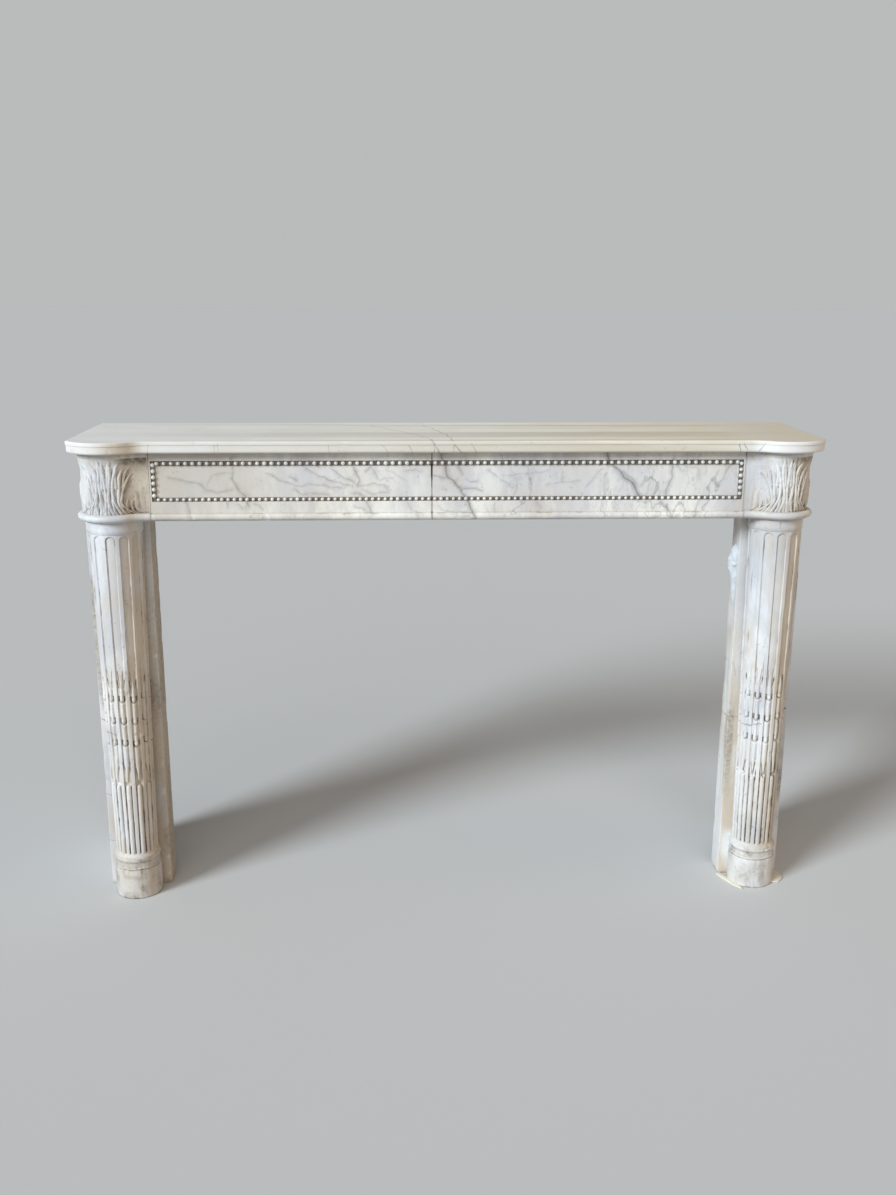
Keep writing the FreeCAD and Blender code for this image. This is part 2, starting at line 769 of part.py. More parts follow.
os.makedirs("parts", exist_ok=True)
for name, thing in NODES.items():
    thing.Shape.exportStep(os.path.join("parts", f"{name}.step"))
    box_of = thing.Shape.BoundBox
    print(f"{name}: {len(thing.Shape.Solids)} solids, {thing.Shape.Volume / 1000:.1f} cm3, "
          f"X {box_of.XMin:.1f}..{box_of.XMax:.1f} Y {box_of.YMin:.1f}..{box_of.YMax:.1f} "
          f"Z {box_of.ZMin:.1f}..{box_of.ZMax:.1f}")
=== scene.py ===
import math

import bmesh
import bpy
import numpy as np
from mathutils import Matrix, Vector


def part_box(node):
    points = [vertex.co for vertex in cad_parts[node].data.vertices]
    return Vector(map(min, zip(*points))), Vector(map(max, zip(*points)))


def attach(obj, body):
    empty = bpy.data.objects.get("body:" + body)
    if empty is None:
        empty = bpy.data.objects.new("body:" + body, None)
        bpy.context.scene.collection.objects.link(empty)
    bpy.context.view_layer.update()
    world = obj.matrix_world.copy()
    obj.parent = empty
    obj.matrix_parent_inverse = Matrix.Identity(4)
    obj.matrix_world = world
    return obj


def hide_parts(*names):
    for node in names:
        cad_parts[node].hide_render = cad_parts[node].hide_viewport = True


# Marble fireplace mantel. Metres, Z up, the wall at +Y, the floor at Z 0.
# Every carved stone is made here as a fine mesh in the place of its plain CAD node.

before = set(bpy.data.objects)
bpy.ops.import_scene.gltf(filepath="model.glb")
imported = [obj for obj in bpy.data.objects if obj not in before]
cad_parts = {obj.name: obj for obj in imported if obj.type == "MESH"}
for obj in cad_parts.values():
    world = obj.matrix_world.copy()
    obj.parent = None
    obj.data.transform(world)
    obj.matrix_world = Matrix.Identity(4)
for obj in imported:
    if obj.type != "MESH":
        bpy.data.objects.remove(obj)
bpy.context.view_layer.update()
MM = 0.001
SIDES = ("left", "right")

# Places read from the frame
shelf_low, shelf_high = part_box("shelf")
frieze_low, frieze_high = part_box("frieze_right")
plinth_low, plinth_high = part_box("plinth_right")
slab_low, slab_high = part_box("jamb_slab_right")
WALL_Y = shelf_high.y
HALF_WIDTH = shelf_high.x
TOP_Z = shelf_high.z
SHELF_Z = shelf_low.z
BED_Z = slab_high.z
PLINTH_TOP = plinth_high.z
PLINTH_RADIUS = (plinth_high.x - plinth_low.x) / 2
AXIS = ((plinth_low.x + plinth_high.x) / 2, plinth_low.y + PLINTH_RADIUS)
SLAB_Y = slab_low.y
SLAB_BACK = slab_high.y
SLAB_SETBACK = SLAB_Y - AXIS[1]
JOINT_X = frieze_high.x
SEAM_X = frieze_low.x
FRIEZE_BACK = frieze_high.y

# Mouldings of the corner: a bow about the column axis and a hollow sweep into the frieze face
CAPITAL_RADIUS = 61.5 * MM
CORNER_X = AXIS[0] + CAPITAL_RADIUS
SWEEP_RADIUS = 74.5 * MM
JOINT_LAND = 2 * MM
JOINT_GAP = 0.35 * MM
SHELF_OVERHANG = 27 * MM
ASTRAGAL_RADIUS = 7 * MM
ASTRAGAL_SPREAD = 8.5 * MM
ASTRAGAL_FOOT = 2 * MM
FACE_Y = frieze_low.y + ASTRAGAL_SPREAD
ASTRAGAL_Z = BED_Z + ASTRAGAL_FOOT + ASTRAGAL_RADIUS
ASTRAGAL_TOP = ASTRAGAL_Z + ASTRAGAL_RADIUS
SWEEP = (JOINT_X + JOINT_LAND, FACE_Y - SWEEP_RADIUS)
TURN = math.degrees(math.atan2(AXIS[1] - SWEEP[1], AXIS[0] - SWEEP[0]))

# Sunk border of the frieze
PANEL_SILL = BED_Z + 39 * MM
PANEL_HEAD = SHELF_Z - 18 * MM
BEAD_LOW = 8 * MM
BEAD_HIGH = 10 * MM
BEAD_END = 9 * MM
PANEL_MARGIN = 4 * MM
BEAD_SINK = 2.5 * MM
PANEL_SINK = 4 * MM

# Column shaft, from its foot to its neck
SHAFT_FOOT = PLINTH_TOP + 12 * MM
SHAFT_TOP = BED_Z - 26 * MM
FOOT_RADIUS = 43 * MM
TOP_RADIUS = 53 * MM
FLUTE_PITCH = 30
FLUTE_FOOT_RADIUS = 8.2 * MM
FLUTE_TOP_RADIUS = 10.5 * MM
FLUTE_SETTING = 2.5 * MM
CABLE_RADIUS = 5.6 * MM
CABLE_SETTING = 4.2 * MM
CABLE_TOP = SHAFT_FOOT + 158 * MM
HUSK_FEET = (SHAFT_FOOT + 246 * MM, SHAFT_FOOT + 295 * MM, SHAFT_FOOT + 343 * MM)
HUSK_WIDTH = 5.9 * MM
CUP_HEIGHT = 7.5 * MM
CABLE_GROUND = 4 * MM
CHAIN_TOP = SHAFT_FOOT + 366 * MM
CHAIN_GROUND = 2.9 * MM
FLAME_TOP = SHAFT_FOOT + 414 * MM
GROOVE_DEPTH = 2.3 * MM

# First seed of each kind of stone; the right-hand stone of a pair takes the next one
SEEDS = {"shelf": 3, "frieze": 11, "capital": 21, "column": 31, "plinth": 41, "frieze end": 51,
         "beads": 60, "jamb stone": 71, "jamb side": 73, "lump": 81, "outer flake": 83, "inner flake": 85}


def seed_of(kind, side):
    """Seed of one stone of a pair."""
    return SEEDS[kind] + SIDES.index(side)


# Repeatable noise for wear and carving

CELL_MIX = (374761393, 668265263, 362437)
SEED_MIX = 974634777
SCRAMBLE = 1274126177
LOW_BITS = 0xFFFFFF


def cell_value(cells, seed):
    """Value from 0 to 1 for each whole-number cell."""
    mixed = sum(cells[..., n] * CELL_MIX[n] for n in range(3)) + seed * SEED_MIX
    mixed = (mixed ^ (mixed >> 13)) * SCRAMBLE
    mixed = mixed ^ (mixed >> 16)
    return (mixed & LOW_BITS) / LOW_BITS


def wander(points, pitch, seed):
    """Smooth noise from -1 to 1 at points, with swells about one pitch apart."""
    at = points / pitch
    cell = np.floor(at).astype(np.int64)
    part = at - cell
    part = part * part * (3 - 2 * part)
    total = np.zeros(points.shape[:-1])
    for corner in np.ndindex(2, 2, 2):
        weight = np.prod(np.where(np.array(corner) == 1, part, 1 - part), axis=-1)
        total += weight * cell_value(cell + np.array(corner), seed)
    return total * 2 - 1


def ease(share):
    """Smooth step from 0 to 1."""
    share = np.clip(share, 0, 1)
    return share * share * (3 - 2 * share)


def fade(distance, reach):
    """Smooth step from 1 at no distance down to 0 at the reach."""
    return 1 - ease(distance / reach)


def blob(distance, width):
    """Soft bump from 1 at no distance, without an edge."""
    return np.exp(-(distance / width) ** 2)


def chips(points, pitch, limit, depth, seed):
    """Depth of broken places: nothing where the noise is under the limit."""
    return np.clip(wander(points, pitch, seed) - limit, 0, 1) / (1 - limit) * depth


def cavity(field, reach, depth, axes=(0, 1)):
    """Share of dirt and painted shade that a carved surface holds: how far it lies below its surroundings.
    """
    around = field
    window = np.ones(2 * reach + 1) / (2 * reach + 1)
    for axis in axes:
        padding = [(reach, reach) if n == axis else (0, 0) for n in (0, 1)]
        padded = np.pad(around, padding, mode="edge")
        around = np.apply_along_axis(np.convolve, axis, padded, window, mode="valid")
    return np.clip((around - field) / depth, 0, 1)


def away_from_key(turn, side, start, reach):
    """Share of painted shade, a brown tint, on a round side turned away from the key light, by turn from the
    front.
    """
    away = -turn if side == "left" else turn
    return ease((away - start) / reach)


# Meshes

def linked(name, data):
    """New object in the scene."""
    made = bpy.data.objects.new(name, data)
    bpy.context.scene.collection.objects.link(made)
    return made


def stone(name, material, vertices, faces, marks, sharp):
    """Object from vertices and faces; marks become point attributes, and sharp edges stay sharp."""
    mesh = bpy.data.meshes.new(name)
    mesh.from_pydata(vertices.reshape(-1, 3).tolist(), [], faces)
    for label, values in marks.items():
        layer = mesh.attributes.new(label, "FLOAT", "POINT")
        layer.data.foreach_set("value", np.clip(values, 0, 1).ravel().astype(np.float32))
    work = bmesh.new()
    work.from_mesh(mesh)
    bmesh.ops.recalc_face_normals(work, faces=work.faces)
    work.to_mesh(mesh)
    work.free()
    mesh.shade_smooth()
    mesh.set_sharp_from_angle(angle=math.radians(sharp))
    mesh.materials.append(material)
    return linked(name, mesh)


def stacked(name, material, rings, sharp, **marks):
    """Closed stone through a stack of outlines that all have the same number of points."""
    levels, points = rings.shape[:2]
    index = np.arange(levels * points).reshape(levels, points)
    low, high = index[:-1], index[1:]
    quads = np.stack([low, np.roll(low, -1, 1), np.roll(high, -1, 1), high], axis=-1).reshape(-1, 4)
    faces = quads.tolist() + [index[0][::-1].tolist(), index[-1].tolist()]
    return stone(name, material, rings, faces, marks, sharp)


def seat(piece, *nodes):
    """Fix a finished piece to the mantel, in the place of its CAD nodes."""
    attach(piece, "root")
    if nodes:
        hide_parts(*nodes)


def seat_pair(name, node, side, material, rings, sharp, **marks):
    """One stone of a left and right pair, from its right-hand outlines."""
    mirrored = rings * np.array([1 if side == "right" else -1, 1, 1])
    seat(stacked(f"{name}_{side}", material, mirrored, sharp, **marks), f"{node}_{side}")


def arc(centre, radius, start, stop, count):
    """Points on an arc, in plan; the radius may change from point to point."""
    turn = np.radians(np.linspace(start, stop, count))
    return np.column_stack([centre[0] + radius * np.cos(turn), centre[1] + radius * np.sin(turn)])


def line(start, stop, count):
    """Points on a straight run, without its last one."""
    share = np.linspace(0, 1, count, endpoint=False)[:, None]
    return np.array(start) * (1 - share) + np.array(stop) * share


def raised(outline, z):
    """Points in plan set at a height."""
    return np.column_stack([outline, np.full(len(outline), z)])


def spaced(x, y, z):
    """Points from three arrays that fit each other."""
    return np.stack(np.broadcast_arrays(x, y, z), axis=-1)


def closed(front, axis, place):
    """Outlines of an upright face, closed by a flat back at a place on an axis."""
    back = front[:, ::front.shape[1] - 1].copy()
    back[..., axis] = place
    return np.concatenate([front, back[:, ::-1]], axis=1)


# Shelf

# Its edge in millimetres: how far it stands in from the outline, and how far below the top
SHELF_ARRIS = ((6, 0), (2.6, 0), (1.3, 0.3), (0.5, 0.9), (0.1, 1.9))
SHELF_BAND = ((0, 3.4), (0, 6.8), (0.2, 7.6), (0.8, 8), (1.2, 8.3), (1.4, 9), (1.4, 14))
SHELF_ROUND_CENTRE = (6.4, 19)
SHELF_ROUND_RADIUS = 5
SHELF_UNDERSIDE = (19, 24)
# Share of the wear that each level takes, from the top
SHELF_WEAR = (0, 0.5, 0.85, 1, 0.8, 0.3, 0.5, 0.7, 0.5)
# Painted shade on the front of the left bow, where it turns away from the key light: its place in X and its
# width
SHELF_SHADE_X = -636 * MM
SHELF_SHADE_WIDTH = 40 * MM


def shelf_outline(inset):
    """Outline of the shelf, anticlockwise from the back right corner round the front."""
    spread = SHELF_OVERHANG - inset
    side_x = HALF_WIDTH - inset
    radius = CAPITAL_RADIUS + spread
    corner_turn = -math.degrees(math.acos((side_x - AXIS[0]) / radius))
    bow = arc(AXIS, radius, corner_turn, TURN - 180, 110)
    sweep = arc(SWEEP, SWEEP_RADIUS - spread, TURN, 90, 36)
    side = line((side_x, WALL_Y), bow[0], 70)
    right = np.concatenate([side, bow[:-1], sweep])
    left = right[::-1] * [-1, 1]
    front = line(right[-1], left[0], 300)[1:]
    return np.concatenate([right, front, left])


def make_shelf(material):
    seed = SEEDS["shelf"]
    turn = np.radians(np.linspace(0, 90, 9))
    rounding = np.column_stack([SHELF_ROUND_CENTRE[0] - SHELF_ROUND_RADIUS * np.cos(turn),
                                SHELF_ROUND_CENTRE[1] + SHELF_ROUND_RADIUS * np.sin(turn)])
    levels = np.concatenate([SHELF_ARRIS, SHELF_BAND, rounding, [SHELF_UNDERSIDE]]) * MM
    rings = np.stack([raised(shelf_outline(inset), TOP_Z - drop) for inset, drop in levels])
    # Worn and chipped front and side edges
    toward = shelf_outline(12 * MM) - shelf_outline(0)
    inward = toward / np.maximum(np.linalg.norm(toward, axis=1, keepdims=True), 1e-9)
    edge = rings[len(SHELF_ARRIS) - 1]
    worn = chips(edge, 26 * MM, 0.45, 3.2 * MM, seed) + chips(edge, 9 * MM, 0.5, 1.4 * MM, seed + 1)
    for level, share in enumerate(SHELF_WEAR):
        rings[level, :, :2] += inward * (worn * share)[:, None]
    low_edge = chips(edge, 14 * MM, 0.5, 2 * MM, seed + 2)
    for level in range(len(SHELF_ARRIS) + len(SHELF_BAND), len(levels) - 2):
        rings[level, :, :2] += inward * low_edge[:, None] * 0.5
    ripple = (wander(rings, 60 * MM, seed + 3) + 1) * 0.35 * MM
    rings[1:, :, :2] += inward[None] * ripple[1:, :, None]
    # Dirt in the groove under the band, on the rounding and on the underside
    grime = np.zeros(rings.shape[:2])
    grime[7:11] = [[0.15], [0.3], [0.35], [0.2]]
    grime[11:-4] = 0.2
    grime *= ease(wander(rings, 90 * MM, seed + 4) * 1.5 + 0.4)
    grime[-3:] = 0.5
    # Painted shade: a brown tint on the front of the left bow, which turns away from the key light
    stain = 0.75 * blob(rings[..., 0] - SHELF_SHADE_X, SHELF_SHADE_WIDTH) * (rings[..., 1] < FACE_Y)
    stain[:3] = 0
    seat(stacked("marble_shelf", material, rings, sharp=30, grime=grime, stain=stain), "shelf")


# Frieze

FRIEZE_GRAIN = 1.5 * MM
LIP = 0.25 * MM
VEIN_HALO = 4.2
VEIN_HALO_DARK = 0.42

# Veins of the frieze, in millimetres: width, darkness and the (X, Z) points of the course
FRIEZE_VEINS = (
    # main vein beside the seam, with its branches
    (3.4, 0.95, (-17, 957), (-8, 931), (-5, 914), (9, 905), (22, 886), (37, 861), (53, 830)),
    (2.0, 0.7, (-34, 916), (-14, 910), (-5, 914)),
    (2.2, 0.65, (16, 933), (24, 918)),
    (1.8, 0.6, (24, 888), (42, 891), (63, 886)),
    (1.6, 0.5, (32, 910), (40, 904), (55, 903)),
    (1.6, 0.4, (-24, 856), (-14, 846), (25, 842), (43, 846)),
    # right half
    (1.6, 0.45, (78, 926), (103, 907), (127, 889)),
    (1.4, 0.4, (134, 913), (136, 889), (129, 879)),
    (1.6, 0.35, (162, 910), (161, 889)),
    (1.6, 0.35, (103, 915), (144, 918), (195, 923)),
    (1.6, 0.35, (191, 896), (224, 902), (260, 904)),
    (1.6, 0.4, (225, 925), (225, 902)),
    (1.8, 0.35, (305, 927), (288, 909), (273, 891)),
    (1.4, 0.4, (90, 861), (89, 843)),
    (2.4, 0.4, (176, 861), (184, 850)),
    (3.2, 0.95, (315, 960), (319, 938), (338, 925), (351, 912), (366, 898), (384, 870)),
    (1.8, 0.6, (337, 930), (349, 921), (365, 907), (377, 890)),
    (2.4, 0.65, (448, 950), (449, 932), (445, 912), (440, 896), (436, 872)),
    (2.0, 0.4, (454, 937), (464, 921), (471, 921)),
    (2.0, 0.5, (540, 924), (537, 913), (527, 906), (533, 901), (540, 890)),
    (1.4, 0.3, (475, 928), (505, 928)),
    (2.2, 0.5, (422, 868), (431, 856), (439, 846), (448, 830)),
    (2.0, 0.45, (504, 863), (498, 844), (495, 830)),
    # left half
    (2.4, 0.7, (-430, 953), (-429, 921), (-432, 909), (-423, 890), (-407, 875), (-400, 856)),
    (2.0, 0.5, (-555, 912), (-496, 900), (-480, 885), (-461, 884), (-433, 888)),
    (1.8, 0.4, (-480, 900), (-469, 919), (-426, 921)),
    (2.0, 0.5, (-364, 921), (-327, 904), (-308, 897)),
    (3.4, 0.6, (-317, 914), (-306, 908)),
    (2.2, 0.5, (-310, 888), (-294, 880), (-241, 877)),
    (2.2, 0.6, (-285, 931), (-267, 916), (-240, 906), (-221, 901), (-193, 894)),
    (1.8, 0.45, (-308, 894), (-279, 899), (-249, 895), (-221, 890), (-207, 894)),
    (2.2, 0.55, (-238, 930), (-214, 914), (-193, 902), (-183, 895)),
    (2.2, 0.7, (-192, 930), (-186, 916), (-180, 906), (-182, 895)),
    (3.2, 0.7, (-165, 924), (-156, 930)),
    (3.0, 0.55, (-151, 926), (-145, 908)),
    (2.0, 0.55, (-183, 895), (-151, 899), (-134, 899), (-123, 888)),
    (2.2, 0.5, (-174, 887), (-160, 880), (-146, 880), (-123, 884)),
    (2.6, 0.6, (-193, 881), (-177, 878), (-171, 870), (-163, 854), (-155, 844)),
    (1.8, 0.5, (-192, 853), (-180, 852), (-167, 844), (-146, 842)),
    (1.6, 0.3, (-126, 927), (-116, 923), (-95, 910), (-87, 906)),
    (1.6, 0.35, (-143, 905), (-123, 909), (-112, 913)),
    (3.2, 0.4, (-88, 924), (-69, 929), (-59, 923)),
    (1.6, 0.4, (-84, 859), (-73, 844), (-66, 844), (-63, 828)),
    (2.2, 0.5, (-522, 865), (-520, 851), (-516, 832)),
    (2.0, 0.4, (-443, 866), (-441, 851)),
    (1.8, 0.45, (-422, 861), (-415, 850), (-405, 853)),
    (2.0, 0.45, (-388, 862), (-372, 848)),
)


def off_course(x, z, start, end):
    """Distance of points on an upright face from a straight course between two points."""
    run_x, run_z = end[0] - start[0], end[1] - start[1]
    off_x, off_z = x - start[0], z - start[1]
    share = np.clip((off_x * run_x + off_z * run_z) / (run_x ** 2 + run_z ** 2), 0, 1)
    return np.hypot(off_x - share * run_x, off_z - share * run_z)


def vein_marks(across, up, seed):
    """Darkness of the listed veins over the frieze, wavering and of uneven width."""
    at = spaced(across, 0, up)
    bent_x = across + wander(at, 14 * MM, seed) * 2.4 * MM + wander(at, 5 * MM, seed + 1) * 0.9 * MM
    bent_z = up + wander(at, 14 * MM, seed + 2) * 2.4 * MM + wander(at, 5 * MM, seed + 3) * 0.9 * MM
    uneven = 0.8 + 0.5 * wander(at, 9 * MM, seed + 4)
    marks = np.zeros_like(across)
    for width, dark, *course in FRIEZE_VEINS:
        reach = width * MM * uneven
        course = np.array(course) * MM
        for start, end in zip(course, course[1:]):
            distance = off_course(bent_x, bent_z, start, end)
            halo = VEIN_HALO_DARK * fade(distance, reach * VEIN_HALO)
            marks = np.maximum(marks, dark * np.maximum(fade(distance, reach), halo))
    return marks


def astragal_profile(steps):
    """Heights and standing-out of the foot and the round of the astragal."""
    turn = np.radians(np.linspace(-90, 90, steps))
    heights = ASTRAGAL_Z + ASTRAGAL_RADIUS * np.sin(turn)
    out = ASTRAGAL_SPREAD - ASTRAGAL_RADIUS + ASTRAGAL_RADIUS * np.cos(turn)
    return [(BED_Z, -1 * MM), (BED_Z + 0.4 * MM, 0.6 * MM)] + list(zip(heights, out))


def frieze_levels():
    """Heights and standing-out of the plain frieze profile, from the bed to the shelf."""
    steps = (PANEL_SILL, PANEL_SILL + BEAD_LOW, PANEL_HEAD - BEAD_HIGH, PANEL_HEAD)
    plain = [step + sign * LIP for step in steps for sign in (-1, 1)]
    bounds = (ASTRAGAL_TOP, *steps, SHELF_Z)
    for low, high in zip(bounds, bounds[1:]):
        plain += np.arange(low + 1.2 * MM, high - 0.8 * MM, FRIEZE_GRAIN).tolist()
    flat = [(z, 0) for z in [ASTRAGAL_TOP + 0.4 * MM] + sorted(plain) + [SHELF_Z]]
    return np.array(astragal_profile(19) + flat)


def make_frieze(side, material):
    """One frieze stone as outlines across it, set side by side along X."""
    seed = seed_of("frieze", side)
    z, out = frieze_levels().T
    end = JOINT_X - PANEL_MARGIN
    inner_end = end - BEAD_END
    seam = SEAM_X if side == "right" else -SEAM_X
    steps = [place + sign * LIP for place in (inner_end, end) for sign in (-1, 1)]
    run = np.arange(seam + 1 * MM, inner_end - 1 * MM, FRIEZE_GRAIN)
    channel = np.linspace(inner_end + 2 * MM, end - 2 * MM, 4)
    x = np.sort(np.concatenate([[seam], run, steps, channel, [JOINT_X]]))
    across, up = np.meshgrid(x, z, indexing="ij")
    border = (across < end) & (up > PANEL_SILL) & (up < PANEL_HEAD)
    panel = (across < inner_end) & (up > PANEL_SILL + BEAD_LOW) & (up < PANEL_HEAD - BEAD_HIGH)
    channels = border & ~panel
    sink = np.where(panel, PANEL_SINK, np.where(border, BEAD_SINK, 0))
    front = np.stack([across, FACE_Y - (out - sink), up], axis=-1)
    front[..., 1] += wander(front, 45 * MM, seed) * 0.35 * MM
    astragal = ease((out - 1 * MM) / (4 * MM))
    front[..., 1] += chips(front, 16 * MM, 0.5, 2.2 * MM, seed + 1) * astragal
    # Open, uneven seam between the two stones, tight joint at the capital
    wide = ease((up[0] - PANEL_SILL - 30 * MM) / (20 * MM)) * (up[0] < PANEL_HEAD)
    opening = 0.4 * MM + chips(front[0], 14 * MM, 0.2, 1 * MM, seed + 2) + 0.9 * MM * wide
    front[..., 0] += opening * np.clip(1 - (across - seam) / (8 * MM), 0, 1)
    front[-1, :, 0] -= JOINT_GAP
    # Soot and painted shade in the bead channels; dirt along the panel's edge; painted shade under the
    # shelf; dirt on the astragal and at the joints
    upper_row = (up - PANEL_HEAD + BEAD_HIGH) / BEAD_HIGH
    channel_soot_and_shade = np.where(upper_row > 0, 0.93 + 0.07 * upper_row, 0.97)
    edge = np.minimum.reduce([inner_end - across, up - PANEL_SILL - BEAD_LOW, PANEL_HEAD - BEAD_HIGH - up])
    grime = np.where(channels, channel_soot_and_shade, 0)
    grime += np.where(panel, 0.3 * fade(edge, 5 * MM), 0)
    # Painted shade under the shelf
    grime += 0.18 * ease((up - SHELF_Z + 7 * MM) / (6 * MM))
    grime += 0.45 * fade(np.abs(up - ASTRAGAL_TOP), 2 * MM)
    grime += 0.6 * fade(np.abs(across - seam), 3 * MM)
    grime += 0.5 * fade(JOINT_X - across, 2.5 * MM)
    grime += 0.35 * astragal * ease(wander(front, 20 * MM, seed + 3) * 2 - 0.4)
    vein = vein_marks(across if side == "right" else -across, up, seed + 4) * np.where(channels, 0.6, 1)
    marks = {"grime": grime, "lilac": np.where(panel, 1, 0.1), "vein": vein}
    marks = {label: np.pad(values, ((0, 0), (0, 2))) for label, values in marks.items()}
    rings = closed(front, 1, FRIEZE_BACK)
    seat_pair("frieze_stone", "frieze", side, material, rings, sharp=40, **marks)


# Corner blocks with the capitals

SWEEP_STEPS = 80
BOW_STEPS = 210
SIDE_STEPS = 60
DRUM_STEPS = 160
CARVING_FOOT = ASTRAGAL_TOP
CARVING_HEAD = SHELF_Z - 11 * MM
# Abacus band in millimetres: height above the carving and standing-out
ABACUS = ((1.2, 3.2), (2, 3.4), (4, 3.4), (8, 3.2), (9.5, 2.4), (11, 2))
# Painted shade on the side of each capital turned away from the key light: turn where it starts, its reach
# in degrees, and the extra darkening that goes with it
CAPITAL_SHADE = {"left": (14, 28, 0.42), "right": (-12, 45, 0.3)}


def fan(centre, ribs, foot, waist, head, height, drop, strength, start=0, width=1):
    """Ribs of one spray of leaves, from left to right.

    Angles are turns from the front in degrees: half spread at the foot, the waist and the head. Heights
    are shares of the drum; drop is how much lower the outer ribs end.
    """
    made = []
    for number in range(ribs):
        lean = number / (ribs - 1) * 2 - 1
        uneven = math.sin(12.9 * number + centre)
        tip = height - drop * abs(lean) ** 1.6 + 0.05 * uneven
        head_turn = centre + head * lean + 2.5 * uneven
        waist_turn = centre + waist * lean + uneven
        made.append((centre + foot * lean, waist_turn, head_turn, start, tip, strength, width, lean))
    return made


RIBS = (fan(0, 9, 54, 29, 41, 0.93, 0.18, 1, width=1.3)
        + fan(0, 6, 33, 33, 42, 0.99, 0.12, 0.75, start=0.5, width=1.3)
        + fan(0, 10, 60, 50, 45, 0.34, 0.08, 0.85, width=1.25)
        + fan(-66, 3, 7, 8, 9, 0.55, 0.1, 0.4, width=1.6)
        + fan(106, 8, 28, 15, 24, 0.92, 0.3, 0.95, width=1.2)
        + fan(148, 4, 10, 9, 10, 0.5, 0.1, 0.5))


def leaf_relief(turn, rise):
    """Carved leaves by turn from the front and share of the height: ridges and sunk ground, as shares."""
    ridge = np.zeros(np.broadcast(turn, rise).shape)
    ground = ridge.copy()
    for number, (foot, waist, head, start, tip, strength, width, lean) in enumerate(RIBS):
        waist_rise = start + 0.3 * (tip - start)
        below = np.clip((waist_rise - rise) / (waist_rise - start), 0, 1) ** 1.5
        above = np.clip((rise - waist_rise) / (tip - waist_rise), 0, 1.2) ** 1.5
        bend = 1.9 * np.sin(7 * rise + 2.1 * number) + 9 * lean * above ** 3
        middle = waist + (foot - waist) * below + (head - waist) * above + bend
        ending = fade(rise - tip + 0.18, 0.18) * ease((rise - start) / 0.08 + 1)
        half = (2.6 + 1.5 * below + 1.1 * above) * (0.35 + 0.65 * ending) * width
        off = np.abs(turn - middle) / half
        ridge = np.maximum(ridge, np.clip(1 - off ** 2, 0, 1) ** 0.8 * ending ** 0.5 * strength)
        ground = np.maximum(ground, blob(off, 2.6) * ending * strength)
    return ridge, ground


def drum_spread(rise):
    """Plain profile of the capital under its carving: waist, belly, neck and flare."""
    waist = -3.4 * np.clip(1 - rise / 0.3, 0, 1) ** 2
    neck = -2.2 * ease((rise - 0.3) / 0.4)
    flare = 4 * ease((rise - 0.74) / 0.26)
    return (waist + neck + flare) * MM


def corner_ring(standing, z):
    """Outline of the corner block at one height, standing out from its plain S-shaped plan."""
    hollow, bow_out, side_out = np.split(standing, [SWEEP_STEPS, SWEEP_STEPS + BOW_STEPS])
    sweep = arc(SWEEP, SWEEP_RADIUS - hollow, 90, TURN, SWEEP_STEPS)
    bow = arc(AXIS, CAPITAL_RADIUS + bow_out, TURN - 180, 0, BOW_STEPS)
    side = line((CORNER_X, AXIS[1]), (CORNER_X, SLAB_BACK), SIDE_STEPS)
    side[:, 0] += side_out
    joint = JOINT_X + JOINT_GAP
    ends = [(CORNER_X + side_out[-1], SLAB_BACK), (joint, SLAB_BACK), (joint, FACE_Y - hollow[0])]
    return raised(np.concatenate([sweep, bow, side, ends]), z)


